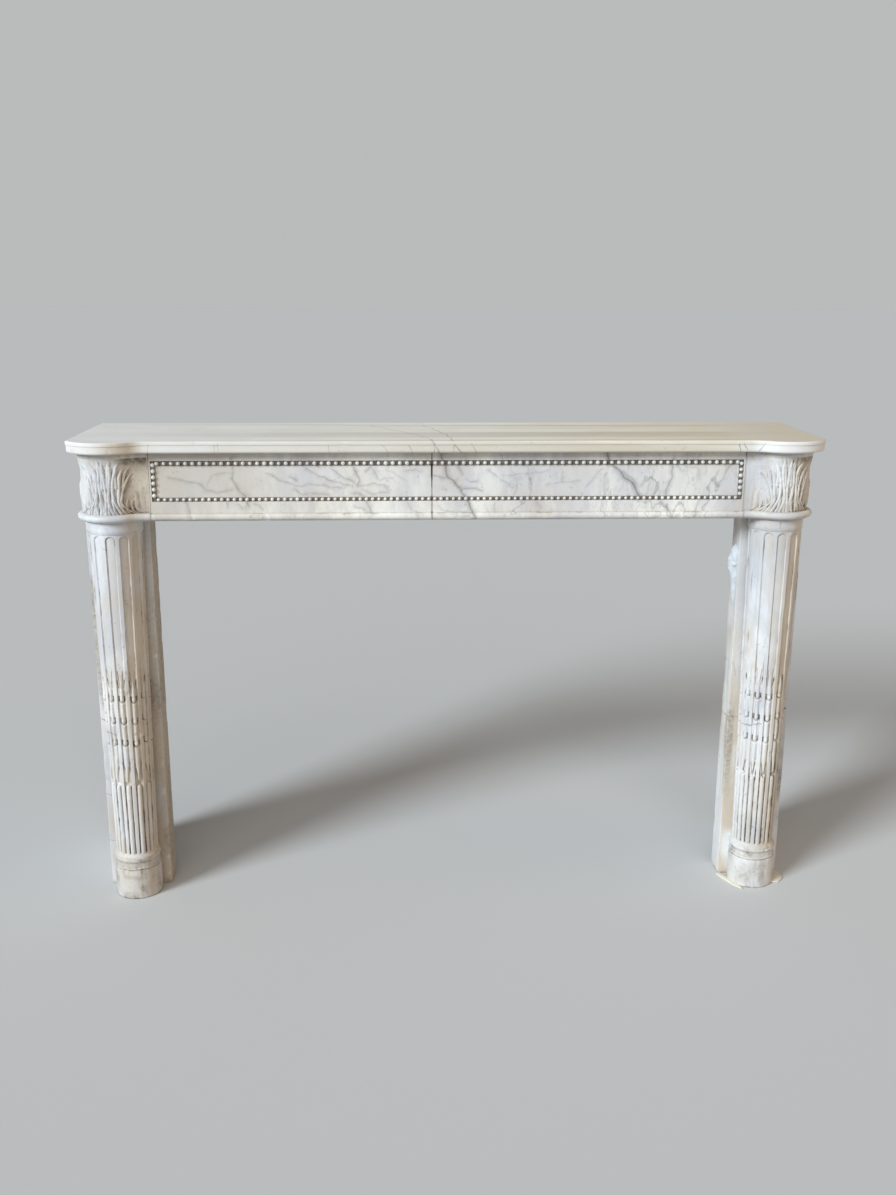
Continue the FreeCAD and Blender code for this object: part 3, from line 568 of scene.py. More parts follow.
def make_capital(side, material):
    seed = seed_of("capital", side)
    bow_start = TURN - 90
    joint_turn = bow_start * (1 + SWEEP_RADIUS / CAPITAL_RADIUS)
    back_turn = 90 + math.degrees((SLAB_BACK - AXIS[1]) / CAPITAL_RADIUS)
    turn = np.concatenate([np.linspace(joint_turn, bow_start, SWEEP_STEPS),
                           np.linspace(bow_start, 90, BOW_STEPS),
                           np.linspace(90, back_turn, SIDE_STEPS)])
    low = astragal_profile(15)
    drum_z = np.linspace(CARVING_FOOT + 0.5 * MM, CARVING_HEAD, DRUM_STEPS)
    high = [(CARVING_HEAD + up * MM, out * MM) for up, out in ABACUS]
    # Leaves in relief on a sunk ground; the profile dies out towards both joints
    rise = ((drum_z - CARVING_FOOT) / (CARVING_HEAD - CARVING_FOOT))[:, None]
    ridge, ground = leaf_relief(turn[None], rise)
    uneven = spaced(turn[None] * MM, rise * 100 * MM, 0)
    sunk = ground * (1.6 + 1.2 * fade(rise, 0.2) + 0.6 * wander(uneven, 8 * MM, seed)) * MM
    carving = ridge * (3.8 + 0.8 * wander(uneven, 11 * MM, seed + 3)) * MM - sunk
    carving += wander(uneven, 3.5 * MM, seed + 1) * 0.3 * MM
    carved = ease((turn - joint_turn) / 30) * fade(turn - back_turn + 22, 20)
    drum = drum_spread(rise) * carved + carving * carved
    standing = [(z, np.full(len(turn), out)) for z, out in low]
    standing += zip(drum_z, drum)
    standing += [(z, np.full(len(turn), out)) for z, out in high]
    rings = np.stack([corner_ring(row, z) for z, row in standing])
    rings[..., :2] += (wander(rings, 30 * MM, seed + 2) * 0.3 * MM)[..., None]
    # Dirt and painted shade between the leaves; dirt at the foot and under the abacus; painted shade, brown
    # and darker, on the side away from the key light
    between = ground * (1 - ridge)
    hollow = cavity(carving, 4, 1.8 * MM) * 0.7 + between * 0.25
    hollow += 0.5 * between * fade(rise, 0.22) + 0.3 * fade(rise, 0.05)
    hollow += 0.35 * ease((rise - 0.84) / 0.1)
    hollow *= 1 - 0.5 * ease((turn - 70) / 20)
    start, reach, shade_darkening = CAPITAL_SHADE[side]
    shade_side = away_from_key(turn, side, start, reach) * fade(turn - 80, 20)
    hollow += shade_darkening * shade_side
    grime, stain = np.zeros((2, *rings.shape[:2]))
    drum_rows = slice(len(low), len(low) + len(drum_z))
    grime[drum_rows, :len(turn)] = hollow
    stain[drum_rows, :len(turn)] = shade_side * (0.75 + 0.35 * wander(uneven, 22 * MM, seed + 4))
    stain[:len(low), :len(turn)] = shade_side * 0.4
    grime[drum_rows.stop:] = 0.35
    grime[:, :2] = np.maximum(grime[:, :2], 0.55)
    seat_pair("corner_capital", "capital", side, material, rings, sharp=50, grime=grime, stain=stain)


# Round stones in front of the jamb slab

def turns(radius, count):
    """Turns from the front in degrees, across each level of a round stone that ends at the slab."""
    return np.linspace(-1, 1, count) * (90 + np.degrees(np.arcsin(SLAB_SETBACK / radius)))


def rounds(radius, angle, z):
    """Levels of a round stone about the column axis, cut flat where they reach the slab."""
    back = np.minimum(AXIS[1] - radius * np.cos(angle), SLAB_Y)
    return spaced(AXIS[0] + radius * np.sin(angle), back, z)


# Columns

# Base and neck in millimetres: height above the plinth or the shaft, and radius
COLUMN_BASE = ((0, 48), (3.2, 48), (4, 47.4),
               *((4 + 8 * n / 6, 43 + 4 * (1 - n / 6) ** 2) for n in range(1, 6)))
COLUMN_NECK = ((0.5, 53.2), (2, 55), (10, 55), (26, 55))
COLUMN_STEPS = 300
# How much lower the chain is cut on each column, and its dirt: in the cut lines and low on the shaft
CHAIN_LOWERED = {"left": 0, "right": 9 * MM}
COLUMN_GRIME = {"left": (0.8, 0.24), "right": (0.62, 0.4)}
# Painted shade, a brown tint, on the side away from the key light: turn where it starts and its reach in
# degrees
COLUMN_SHADE = {"left": (10, 36), "right": (-6, 40)}


def shaft_face(z):
    """Radius of the shaft's fillets at a height."""
    share = (z - SHAFT_FOOT) / (SHAFT_TOP - SHAFT_FOOT)
    return FOOT_RADIUS + (TOP_RADIUS - FOOT_RADIUS) * share


def under_root(square):
    """Square root that is 0 below 0."""
    return np.sqrt(np.clip(square, 0, None))


def rounded(across, half_width):
    """Height of a round ridge of the given half width, as a share, from 0 at its edges."""
    return under_root(1 - (across / np.maximum(half_width, 1e-6)) ** 2)


def stroke(across, z, start, end, width):
    """Share of a cut stroke between two points, both given as millimetres across and a height."""
    return blob(off_course(across, z, (start[0] * MM, start[1]), (end[0] * MM, end[1])), width)


def chain_grooves(across, z):
    """Cut lines of the chain above a cable, as a share: drop, cups, curls, side lines and flame."""
    aside = np.abs(across)
    tip = CABLE_TOP + 8 * MM
    marks = 0.6 * stroke(aside, z, (0, tip), (4.4, tip + 32 * MM), 1.1 * MM)
    for foot in HUSK_FEET:
        up = z - foot
        ring = np.hypot(across / HUSK_WIDTH, (up - CUP_HEIGHT) / CUP_HEIGHT) - 1
        cup = blob(ring * HUSK_WIDTH, 1.5 * MM) * fade(up - CUP_HEIGHT, 5 * MM)
        curls = blob(np.hypot(aside - 5.2 * MM, up - 12 * MM), 2.3 * MM)
        sides = 0.4 * stroke(aside, z, (4.4, foot + 16 * MM), (2.8, foot + 42 * MM), 0.9 * MM)
        marks = np.maximum.reduce([marks, cup, curls, sides])
    for start, end, below in ((2.2, 5.8, 4 * MM), (5.2, 8, 22 * MM)):
        blade = stroke(aside, z, (start, CHAIN_TOP + 8 * MM), (end, FLAME_TOP - below), 0.9 * MM)
        marks = np.maximum(marks, 0.7 * blade)
    return marks


def chain_drops(across, z):
    """Small drops that hang in the cups, as a share."""
    drops = np.zeros(np.broadcast(across, z).shape)
    for foot in HUSK_FEET:
        drops = np.maximum(drops, rounded(np.hypot(across, (z - foot - CUP_HEIGHT) * 0.7), 2.8 * MM))
    return drops


def flute_field(turn, z, seed, lowered):
    """Standing-out of the fluted shaft by turn and height, its cut lines and the edges of its flutes."""
    face = shaft_face(z)
    flute = np.floor(turn / FLUTE_PITCH + 0.5)
    across = np.radians(turn - flute * FLUTE_PITCH) * face
    head = SHAFT_TOP - FLUTE_TOP_RADIUS - 2 * MM
    share = (z - SHAFT_FOOT) / (head - SHAFT_FOOT)
    radius = FLUTE_FOOT_RADIUS + (FLUTE_TOP_RADIUS - FLUTE_FOOT_RADIUS) * np.clip(share, 0, 1)
    radius = under_root(radius ** 2 - np.clip(z - head, 0, None) ** 2)
    hollow = np.minimum(0, FLUTE_SETTING - under_root(radius ** 2 - across ** 2))
    lip = under_root(radius ** 2 - FLUTE_SETTING ** 2)
    edge = blob(np.abs(across) - lip + 1 * MM, 1.3 * MM)
    # Above the cables the flutes are shallow, up to the flames
    filled = ease((z - CABLE_TOP) / (12 * MM)) * fade(z - CHAIN_TOP, 60 * MM)
    hollow = np.maximum(hollow, -CHAIN_GROUND) * filled + hollow * (1 - filled)
    hollow = np.where(z < CABLE_TOP, np.maximum(hollow, -CABLE_GROUND), hollow)
    # Cable with a round end, and above it a rod that thins out under the chain
    end = under_root(1 - np.clip((z - CABLE_TOP + CABLE_RADIUS) / CABLE_RADIUS, 0, 1) ** 2)
    bar = CABLE_RADIUS * rounded(across, CABLE_RADIUS * end) * end
    cable = np.where(z < CABLE_TOP, bar - CABLE_SETTING, -1)
    up = (z - CABLE_TOP - 8 * MM) / (CHAIN_TOP - CABLE_TOP)
    width = 5.4 * MM * np.sqrt(np.clip(up / 0.2, 0, 1)) * (1 - 0.2 * np.clip(up, 0, 1))
    swell = (CHAIN_GROUND + 0.6 * MM) * rounded(across, width) * fade(z - CHAIN_TOP, 26 * MM)
    rod = np.where(up > 0, -CHAIN_GROUND + swell, -1)
    shifted = z + 2.5 * MM * np.sin(3.7 * flute + seed) + lowered
    cut = chain_grooves(across, shifted)
    field = np.maximum.reduce([hollow, cable, rod])
    return field - cut * GROOVE_DEPTH + chain_drops(across, shifted) * 0.8 * MM, cut, edge


def make_column(side, material):
    seed = seed_of("column", side)
    base_z, base = np.array(COLUMN_BASE).T * MM
    neck_z, neck = np.array(COLUMN_NECK).T * MM
    carved_foot = CABLE_TOP - 7 * MM
    shaft_z = np.concatenate([[SHAFT_FOOT, SHAFT_FOOT + 1 * MM],
                              np.arange(SHAFT_FOOT + 5 * MM, carved_foot - 3 * MM, 6 * MM),
                              np.arange(carved_foot, FLAME_TOP + 4 * MM, 1.3 * MM),
                              np.arange(FLAME_TOP + 8 * MM, SHAFT_TOP - 16 * MM, 9 * MM),
                              np.linspace(SHAFT_TOP - 15 * MM, SHAFT_TOP, 18)])
    z = np.concatenate([PLINTH_TOP + base_z, shaft_z, SHAFT_TOP + neck_z])[:, None]
    face = np.concatenate([base, shaft_face(shaft_z), neck])[:, None]
    shaft = slice(len(base), len(base) + len(shaft_z))
    turn = turns(face, COLUMN_STEPS)
    field, groove, edge = np.zeros((3, *turn.shape))
    carved = flute_field(turn[shaft], z[shaft], seed, CHAIN_LOWERED[side])
    field[shaft], groove[shaft], edge[shaft] = carved
    angle = np.radians(turn)
    places = spaced(np.sin(angle) * TOP_RADIUS, -np.cos(angle) * TOP_RADIUS, z)
    worn = wander(places, 40 * MM, seed) * 0.5 + wander(places, 12 * MM, seed + 1) * 0.3
    worn -= chips(places, 15 * MM, 0.5, 2, seed + 2) * (field > -1 * MM)
    rings = rounds(face + field + worn * MM, angle, z)
    # Dirt and painted shade in the flutes; dirt in the cut lines, low on the shaft and along the flute edges
    in_lines, at_foot = COLUMN_GRIME[side]
    hollow_dirt_and_shade = np.zeros(turn.shape)
    hollow_dirt_and_shade[shaft] = cavity(field[shaft], 5, 2.4 * MM, (1,))
    broken = in_lines + 0.55 * wander(places, 18 * MM, seed + 4)
    low = fade(z - SHAFT_FOOT, CHAIN_TOP - SHAFT_FOOT)
    spotted = ease(wander(places, 22 * MM, seed + 5) + 0.4)
    grime = hollow_dirt_and_shade * (0.4 + 0.2 * low) + groove * broken * 0.9 + at_foot * low
    grime += edge * spotted * (0.62 + 0.2 * ease((z - SHAFT_TOP + 40 * MM) / (30 * MM)))
    grime[:3] = 0.4
    # Painted shade: a brown tint on the side away from the key light, and in the flute hollows turned away
    # from it
    patchy = 0.6 + 0.45 * wander(places * [1, 1, 0.3], 26 * MM, seed + 6)
    stain = away_from_key(turn, side, *COLUMN_SHADE[side]) * patchy * fade(turn - 70, 20)
    stain += 0.6 * ease(-field / (5 * MM)) * away_from_key(turn, side, -30, 50)
    seat_pair("fluted_column", "column", side, material, rings, sharp=60, grime=grime, stain=stain)


# Plinths, jambs and returns

# Height and radius in millimetres
PLINTH_PROFILE = ((0, 47.6), (1, 48.8), (3, 49), (20, 49), (45, 49), (63, 49), (65, 48.6), (66, 47.4),
                  (67, 47), (68, 47.6), (69.4, 48.4), (71, 48.2), (72.2, 47), (73, 46.6), (80, 46.6),
                  (84.5, 46.8), (85.6, 47.6), (87, 48.6), (89, 48.8), (90.6, 48.4), (92, 47.6))
PLINTH_STEPS = 200
# Grime of each plinth: even and cloudy
PLINTH_GRIME = {"left": (0.42, 0.3), "right": (0.38, 0.18)}
BLOCK_ROUNDING = 2.2 * MM
BLOCK_STEP = 8 * MM
BLOCK_GRIME_LIMIT = 0.62
# Ends of a block: distance from its bed and how far the edge is drawn in
BLOCK_ENDS = ((0, 1.2 * MM), (0.4 * MM, 0.4 * MM), (1.2 * MM, 0))


def make_plinth(side, material):
    seed = seed_of("plinth", side)
    z, radius = np.array(PLINTH_PROFILE).T[..., None] * MM
    angle = np.radians(turns(radius, PLINTH_STEPS))
    places = spaced(np.sin(angle), -np.cos(angle), z)
    worn = wander(places, 0.5, seed) * 0.5 - chips(places * [49, 49, 1000], 9, 0.45, 2.2, seed + 1)
    worn *= 1 - 0.7 * ((z > 5 * MM) & (z < 60 * MM))
    rings = rounds(radius + worn * MM, angle, z)
    # Dirt in clouds, in both fillet rings and at the foot
    even, cloudy = PLINTH_GRIME[side]
    grime = even + cloudy * ease(wander(rings, 16 * MM, seed + 2) * 1.6 - 0.1)
    grime[7:10] += 0.22
    grime[12:16] += [[0.2], [0.1], [0.05], [0.2]]
    grime[:2] += 0.4
    seat_pair("round_plinth", "plinth", side, material, rings, sharp=40, grime=grime)


def block_plan(low, high):
    """Plan of an upright block with rounded corners."""
    left, right = low.x + BLOCK_ROUNDING, high.x - BLOCK_ROUNDING
    front, back = low.y + BLOCK_ROUNDING, high.y - BLOCK_ROUNDING
    centres = {180: (left, front), 270: (right, front), 0: (right, back), 90: (left, back)}
    bends = [arc(centre, BLOCK_ROUNDING, start, start + 90, 5) for start, centre in centres.items()]
    plan = []
    for bend, following in zip(bends, bends[1:] + bends[:1]):
        plan += [bend[:-1], line(bend[-1], following[0], 14)]
    return np.concatenate(plan)


def make_block(name, node, material, seed):
    """Upright slab from a CAD node's box: rounded, worn and chipped edges."""
    low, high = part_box(node)
    height = high.z - low.z
    end, drawn_in = np.array(BLOCK_ENDS).T
    run = np.arange(BLOCK_STEP, height - BLOCK_STEP / 2, BLOCK_STEP)
    pull = np.concatenate([drawn_in, np.zeros(len(run)), drawn_in[::-1]])
    plan = block_plan(low, high)
    rings = np.stack([raised(plan, low.z + h) for h in np.concatenate([end, run, height - end[::-1]])])
    middle = np.array([(low.x + high.x) / 2, (low.y + high.y) / 2])
    spans = np.array([high.x - low.x, high.y - low.y])
    off = (rings[..., :2] - middle) / (spans / 2)
    corner = ease((np.abs(off).min(axis=-1) - 0.85) / 0.1)
    worn = chips(rings, 22 * MM, 0.3, 3 * MM, seed) * corner + pull[:, None]
    worn += np.clip(wander(rings, 50 * MM, seed + 1), 0, 1) * 0.3 * MM
    rings[..., :2] -= np.sign(off) * (np.abs(off) > 0.9) * worn[..., None]
    x, y, z = np.moveaxis(rings, -1, 0)
    grime = 0.18 + 0.5 * ease(wander(rings * [1, 1, 0.25], 28 * MM, seed + 2) * 1.6 - 0.3)
    grime += 0.4 * fade(z, 12 * MM)
    # Brown stain and painted shade on the front, in the corner beside the column; painted shade on the left
    # jamb: darker on its front and darker and brown on its inner face
    front = (y < low.y + 1 * MM) & (np.abs(x) < AXIS[0] - 33 * MM)
    patchy = ease(0.7 + 0.8 * wander(rings * [1, 1, 0.4], 30 * MM, seed + 3))
    stain = patchy * front * (1 - 0.85 * ease((z - 0.3) / 0.3))
    inner = (np.abs(x) < slab_low.x + 2 * MM) & (y > low.y + 1 * MM)
    left_in_shade = x < 0
    grime = np.minimum(grime + (0.25 * front + 0.35 * inner) * left_in_shade, BLOCK_GRIME_LIMIT)
    stain += 0.8 * inner * left_in_shade
    seat(stacked(name, material, rings, sharp=40, grime=grime, stain=stain), node)


def make_frieze_return(side, material):
    """Side stone of the frieze, with the astragal and the abacus band carried back to the wall."""
    low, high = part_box(f"frieze_return_{side}")
    profile = astragal_profile(13)
    profile += [(ASTRAGAL_TOP + 0.5 * MM, 0), (SHELF_Z - 40 * MM, 0), (SHELF_Z - 9.2 * MM, 0),
                (SHELF_Z - 9 * MM, 3 * MM), (SHELF_Z - 1 * MM, 3 * MM), (SHELF_Z, 2 * MM)]
    z, out = np.array(profile).T
    face = spaced(CORNER_X + out, np.linspace(low.y, high.y, 45)[:, None], z)
    face[..., 0] += wander(face, 30 * MM, SEEDS["frieze end"]) * 0.3 * MM
    rings = closed(face, 0, min(abs(low.x), abs(high.x)))
    seat_pair("frieze_end", "frieze_return", side, material, rings, sharp=40)


# Old mortar

# Lump on the jamb in millimetres: heights and how far it reaches there
LUMP_HEIGHTS = (628, 636, 656, 678, 706, 726, 742, 754, 758)
LUMP_REACH = (1, 4, 7, 10, 14, 17, 14, 7, 1)
# Edge of a flake: share of its thickness and of its spans
FLAKE_EDGE = ((0, 0.94), (0.3, 1), (0.7, 0.97), (1, 0.82))


def make_mortar_lump(material):
    """Lump of mortar left on the inner edge of the right jamb."""
    seed = SEEDS["lump"]
    heights = np.linspace(LUMP_HEIGHTS[0], LUMP_HEIGHTS[-1], 90)
    reach = np.interp(heights, LUMP_HEIGHTS, LUMP_REACH)[:, None] * MM
    turn = np.linspace(0, math.tau, 60, endpoint=False)
    rings = spaced(-np.cos(turn) * reach, np.sin(turn) * reach, heights[:, None] * MM)
    rough = 1 + 0.2 * wander(rings, 16 * MM, seed) + 0.12 * wander(rings, 6 * MM, seed + 1)
    rings[..., :2] *= rough[..., None]
    rings[..., :2] += (slab_low.x + 1 * MM, SLAB_Y + 20 * MM)
    seat(stacked("mortar_lump", material, rings, sharp=60))


def make_mortar_flake(name, material, centre, spans, thickness, seed, turned=0, point=0):
    """Thin broken flake of mortar on the floor: turned in degrees, and drawn out to a point."""
    turn = np.linspace(0, math.tau, 60, endpoint=False)
    up, share = np.array(FLAKE_EDGE).T[..., None]
    rings = spaced(np.cos(turn) * spans[0] * share, np.sin(turn) * spans[1] * share, thickness * up)
    rough = 1 + 0.15 * wander(rings, 14 * MM, seed) + 0.1 * wander(rings, 5 * MM, seed + 1)
    rough += point * np.clip(np.cos(turn), 0, 1) ** 6
    rings[..., :2] *= rough[..., None]
    spin = math.radians(turned)
    rings[..., :2] = rings[..., :2] @ np.array([(math.cos(spin), math.sin(spin)),
                                                (-math.sin(spin), math.cos(spin))])
    rings[..., :2] += centre
    rings[..., 0] = np.minimum(rings[..., 0], HALF_WIDTH - 1 * MM)
    seat(stacked(name, material, rings, sharp=50))


# Node trees

class Nodes:
    """Short ways to add nodes to a tree. An input takes a value or another node's output."""

    def __init__(self, tree):
        self.tree = tree

    def feed(self, socket, value):
        if isinstance(value, bpy.types.NodeSocket):
            self.tree.links.new(value, socket)
        else:
            socket.default_value = value

    def add(self, kind, settings=None, **inputs):
        """Node with its settings and inputs; an input goes by name, or by number as i0, i1 and so on."""
        made = self.tree.nodes.new(kind)
        for name, value in (settings or {}).items():
            setattr(made, name, value)
        for name, value in inputs.items():
            numbered = name[0] == "i" and name[1:].isdigit()
            self.feed(made.inputs[int(name[1:]) if numbered else name], value)
        return made

    def maths(self, operation, first, second=0.0, clamp=False):
        settings = {"operation": operation, "use_clamp": clamp}
        return self.add("ShaderNodeMath", settings, i0=first, i1=second).outputs[0]

    def vector(self, operation, first, second=(0, 0, 0), scale=1.0):
        made = self.add("ShaderNodeVectorMath", {"operation": operation}, i0=first, i1=second, i3=scale)
        return made.outputs["Value" if operation in ("DOT_PRODUCT", "LENGTH") else "Vector"]

    def noise(self, place, scale, detail, roughness=0.5, distortion=0.0):
        return self.add("ShaderNodeTexNoise", Vector=place, Scale=scale, Detail=detail, Roughness=roughness,
                        Distortion=distortion).outputs

    def between(self, value, low, high, start=0.0, stop=1.0, kind="SMOOTHSTEP"):
        """Value brought from one range to another, by a smooth step or another kind of curve."""
        made = self.add("ShaderNodeMapRange", {"interpolation_type": kind}, i0=value, i1=low, i2=high,
                        i3=start, i4=stop)
        return made.outputs[0]

    def blend(self, factor, below, above):
        """Colour mixed by a factor."""
        return self.add("ShaderNodeMix", {"data_type": "RGBA"}, i0=factor, i6=below, i7=above).outputs[2]

    def group(self, label, **inputs):
        return self.add("ShaderNodeGroup", {"node_tree": bpy.data.node_groups[label]}, **inputs).outputs

    def mark(self, label):
        """Point attribute of a stone."""
        return self.add("ShaderNodeAttribute", {"attribute_name": label}).outputs["Fac"]


# Beads, set in rows by geometry nodes

# Each row in millimetres: pitch and radius
UPPER_BEADS = (14.2, 4.3)
LOWER_BEADS = (12.4, 3.7)
END_BEADS = (12.3, 4.4)
BEAD_SETTING = 1.2 * MM
BEAD_LEAST, BEAD_MOST = 0.86, 1.04


def bead_row_tree():
    """Tree for one row of beads: small worn spheres at even steps between two points."""
    tree = bpy.data.node_groups.new("Bead row", "GeometryNodeTree")
    tree.interface.new_socket("Geometry", in_out="OUTPUT", socket_type="NodeSocketGeometry")
    for name, kind in (("Start", "Vector"), ("End", "Vector"), ("Count", "Int"), ("Radius", "Float"),
                       ("Seed", "Int"), ("Stone", "Material")):
        tree.interface.new_socket(name, in_out="INPUT", socket_type=f"NodeSocket{kind}")
    nodes = Nodes(tree)
    given = tree.nodes.new("NodeGroupInput").outputs
    run = nodes.vector("SUBTRACT", given["End"], given["Start"])
    share = nodes.maths("DIVIDE", 1.0, nodes.maths("SUBTRACT", given["Count"], 1.0))
    row = nodes.add("GeometryNodeMeshLine", {"mode": "OFFSET"}, Count=given["Count"],
                    Offset=nodes.vector("SCALE", run, scale=share), **{"Start Location": given["Start"]})
    bead = nodes.add("GeometryNodeMeshIcoSphere", Radius=given["Radius"], Subdivisions=2)
    scale = nodes.add("FunctionNodeRandomValue", {"data_type": "FLOAT"}, Seed=given["Seed"],
                      i2=BEAD_LEAST, i3=BEAD_MOST)
    turn = nodes.add("FunctionNodeRandomValue", {"data_type": "FLOAT_VECTOR"}, Seed=given["Seed"],
                     i1=(math.tau,) * 3)
    spread = nodes.add("GeometryNodeInstanceOnPoints", Points=row.outputs[0], Instance=bead.outputs["Mesh"],
                       Rotation=turn.outputs[0], Scale=scale.outputs[1])
    real = nodes.add("GeometryNodeRealizeInstances", Geometry=spread.outputs[0])
    smooth = nodes.add("GeometryNodeSetShadeSmooth", Geometry=real.outputs[0])
    named = nodes.add("GeometryNodeSetMaterial", Geometry=smooth.outputs[0], Material=given["Stone"])
    nodes.feed(tree.nodes.new("NodeGroupOutput").inputs[0], named.outputs[0])
    return tree


def bead_row(tree, name, start, end, pitch, radius, seed, material):
    """One row of beads as a plain mesh."""
    holder = linked(name, bpy.data.meshes.new(name))
    count = round((Vector(end) - Vector(start)).length / pitch) + 1
    values = {"Start": start, "End": end, "Count": count, "Radius": radius, "Seed": seed, "Stone": material}
    grower = holder.modifiers.new("Beads", "NODES")
    grower.node_group = tree
    for item in tree.interface.items_tree:
        if item.in_out == "INPUT":
            grower[item.identifier] = values[item.name]
    seen = holder.evaluated_get(bpy.context.evaluated_depsgraph_get())
    mesh = bpy.data.meshes.new_from_object(seen)
    holder.modifiers.remove(grower)
    bpy.data.objects.remove(holder)
    return mesh


def make_beads(side, tree, material):
    """Bead border of one frieze stone: upper, lower and end rows."""
    sign = 1 if side == "right" else -1
    seam = SEAM_X * sign
    y = FACE_Y + BEAD_SETTING
    end = JOINT_X - PANEL_MARGIN - BEAD_END / 2
    upper = PANEL_HEAD - BEAD_HIGH / 2
    lower = PANEL_SILL + BEAD_LOW / 2
    rows = (
        ((seam + 7 * MM, upper), (end - 8 * MM, upper), UPPER_BEADS),
        ((seam + 6 * MM, lower), (end - 8 * MM, lower), LOWER_BEADS),
        ((end, lower + 8 * MM), (end, upper - 3 * MM), END_BEADS),
    )
    work = bmesh.new()
    for number, ((x0, z0), (x1, z1), (pitch, radius)) in enumerate(rows):
        mesh = bead_row(tree, f"beads_{side}_{number}_row", (sign * x0, y, z0), (sign * x1, y, z1),
                        pitch * MM, radius * MM, SEEDS["beads"] + number + sign, material)
        work.from_mesh(mesh)
        bpy.data.meshes.remove(mesh)
    joined = bpy.data.meshes.new(f"bead_border_{side}")
    work.to_mesh(joined)
    work.free()
    joined.materials.append(material)
    seat(linked(f"bead_border_{side}", joined))


# Materials

WHITE = (0.755, 0.77, 0.785, 1)
GREY = (0.52, 0.53, 0.56, 1)
CREAM = (0.90, 0.86, 0.765, 1)
TAWNY = (0.60, 0.55, 0.46, 1)
COOL = (0.77, 0.775, 0.785, 1)
BEIGE = (0.62, 0.53, 0.40, 1)
DUN = (0.50, 0.455, 0.39, 1)
IVORY = (0.80, 0.785, 0.74, 1)
MAUVE = (0.53, 0.515, 0.52, 1)
LILAC = (0.59, 0.58, 0.595, 1)
BEAD_WHITE = (0.74, 0.73, 0.70, 1)
VEIN = (0.15, 0.145, 0.16, 1)
PATINA = (0.52, 0.42, 0.30, 1)
DIRT = (0.10, 0.085, 0.07, 1)
MORTAR = (0.82, 0.79, 0.68, 1)
MORTAR_DARK = (0.62, 0.57, 0.46, 1)
PLASTER = (0.60, 0.635, 0.665, 1)
PLASTER_DARK = (0.50, 0.53, 0.56, 1)
IRON = (0.075, 0.06, 0.055, 1)
RUST = (0.19, 0.075, 0.03, 1)
FLOOR = (0.62, 0.62, 0.62, 1)
BACKDROP = (0.49, 0.50, 0.50, 1)
AMBIENT = (1, 0.98, 0.95, 1)

CLOUD_TILT = (0.2, math.radians(32), 0.15)
CLOUD_SCALE = 9.0
FLECK_SCALE = 46.0
# Webs of fine veins: scale, width and share of the darkness
WEBS = ((5.5, 0.016, 1.0), (13.0, 0.02, 0.6))
VEIN_WAVER = 0.02
PATINA_SHARE = 0.75
DIRT_SHARE = 0.94
MARBLE_SPECULAR = 0.25

# Veins drawn by the material, in millimetres: the axes that count, width, darkness and the course
TOP, FRONT = (1, 1, 0), (1, 0, 1)
SHELF_VEINS = (
    (TOP, 2.2, 0.6, (-164, 118), (-100, 13), (-60, -57), (-33, -145)),
    (TOP, 2.4, 0.6, (-49, 116), (-5, -44), (6, -145)),
    (TOP, 2.0, 0.3, (-230, 130), (-120, 90)),
    (FRONT, 2.2, 0.75, (-31, 982), (-21, 962)),
    (FRONT, 2.4, 0.75, (8, 982), (25, 963)),
    (FRONT, 1.8, 0.65, (43, 982), (54, 963)),
    (FRONT, 1.8, 0.6, (-81, 982), (-74, 965)),
    (FRONT, 1.8, 0.55, (-136, 981), (-120, 963)),
    (FRONT, 1.4, 0.45, (-237, 982), (-239, 964)),
    (FRONT, 1.8, 0.7, (569, 982), (574, 967)),
    (FRONT, 1.6, 0.6, (579, 982), (588, 967)),
    (FRONT, 1.6, 0.6, (620, 982), (614, 964)),
    (FRONT, 1.4, 0.4, (-459, 982), (-460, 966)),
    (FRONT, 1.4, 0.4, (-453, 982), (-454, 966)),
    (FRONT, 1.6, 0.5, (-586, 982), (-587, 966)),
)
JAMB_VEINS = (
    (FRONT, 2.4, 0.7, (-740, 389), (-716, 380), (-690, 377)),
    (FRONT, 1.8, 0.5, (-652, 397), (-628, 390)),
    (FRONT, 2.0, 0.55, (-738, 217), (-715, 208)),
    (FRONT, 2.0, 0.55, (-738, 106), (-712, 104)),
    (FRONT, 3.0, 0.6, (610, 374), (640, 376), (662, 386)),
    (FRONT, 2.0, 0.55, (690, 407), (735, 415)),
    (FRONT, 3.2, 0.4, (612, 500), (618, 470)),
    (FRONT, 3.4, 1.0, (731, 396), (732, 395)),
    (FRONT, 11, 0.4, (-690, 52), (-655, 47)),
    (FRONT, 6, 0.3, (-668, 47), (-664, 26)),
)


def shader_group(name, inputs, outputs):
    """Empty shader node group: its node helper, its inputs and its outputs, which are all values."""
    tree = bpy.data.node_groups.new(name, "ShaderNodeTree")
    for label, value in inputs.items():
        kind = "NodeSocketVector" if isinstance(value, tuple) else "NodeSocketFloat"
        tree.interface.new_socket(label, in_out="INPUT", socket_type=kind).default_value = value
    for label in outputs:
        tree.interface.new_socket(label, in_out="OUTPUT", socket_type="NodeSocketFloat")
    return Nodes(tree), tree.nodes.new("NodeGroupInput").outputs, tree.nodes.new("NodeGroupOutput").inputs


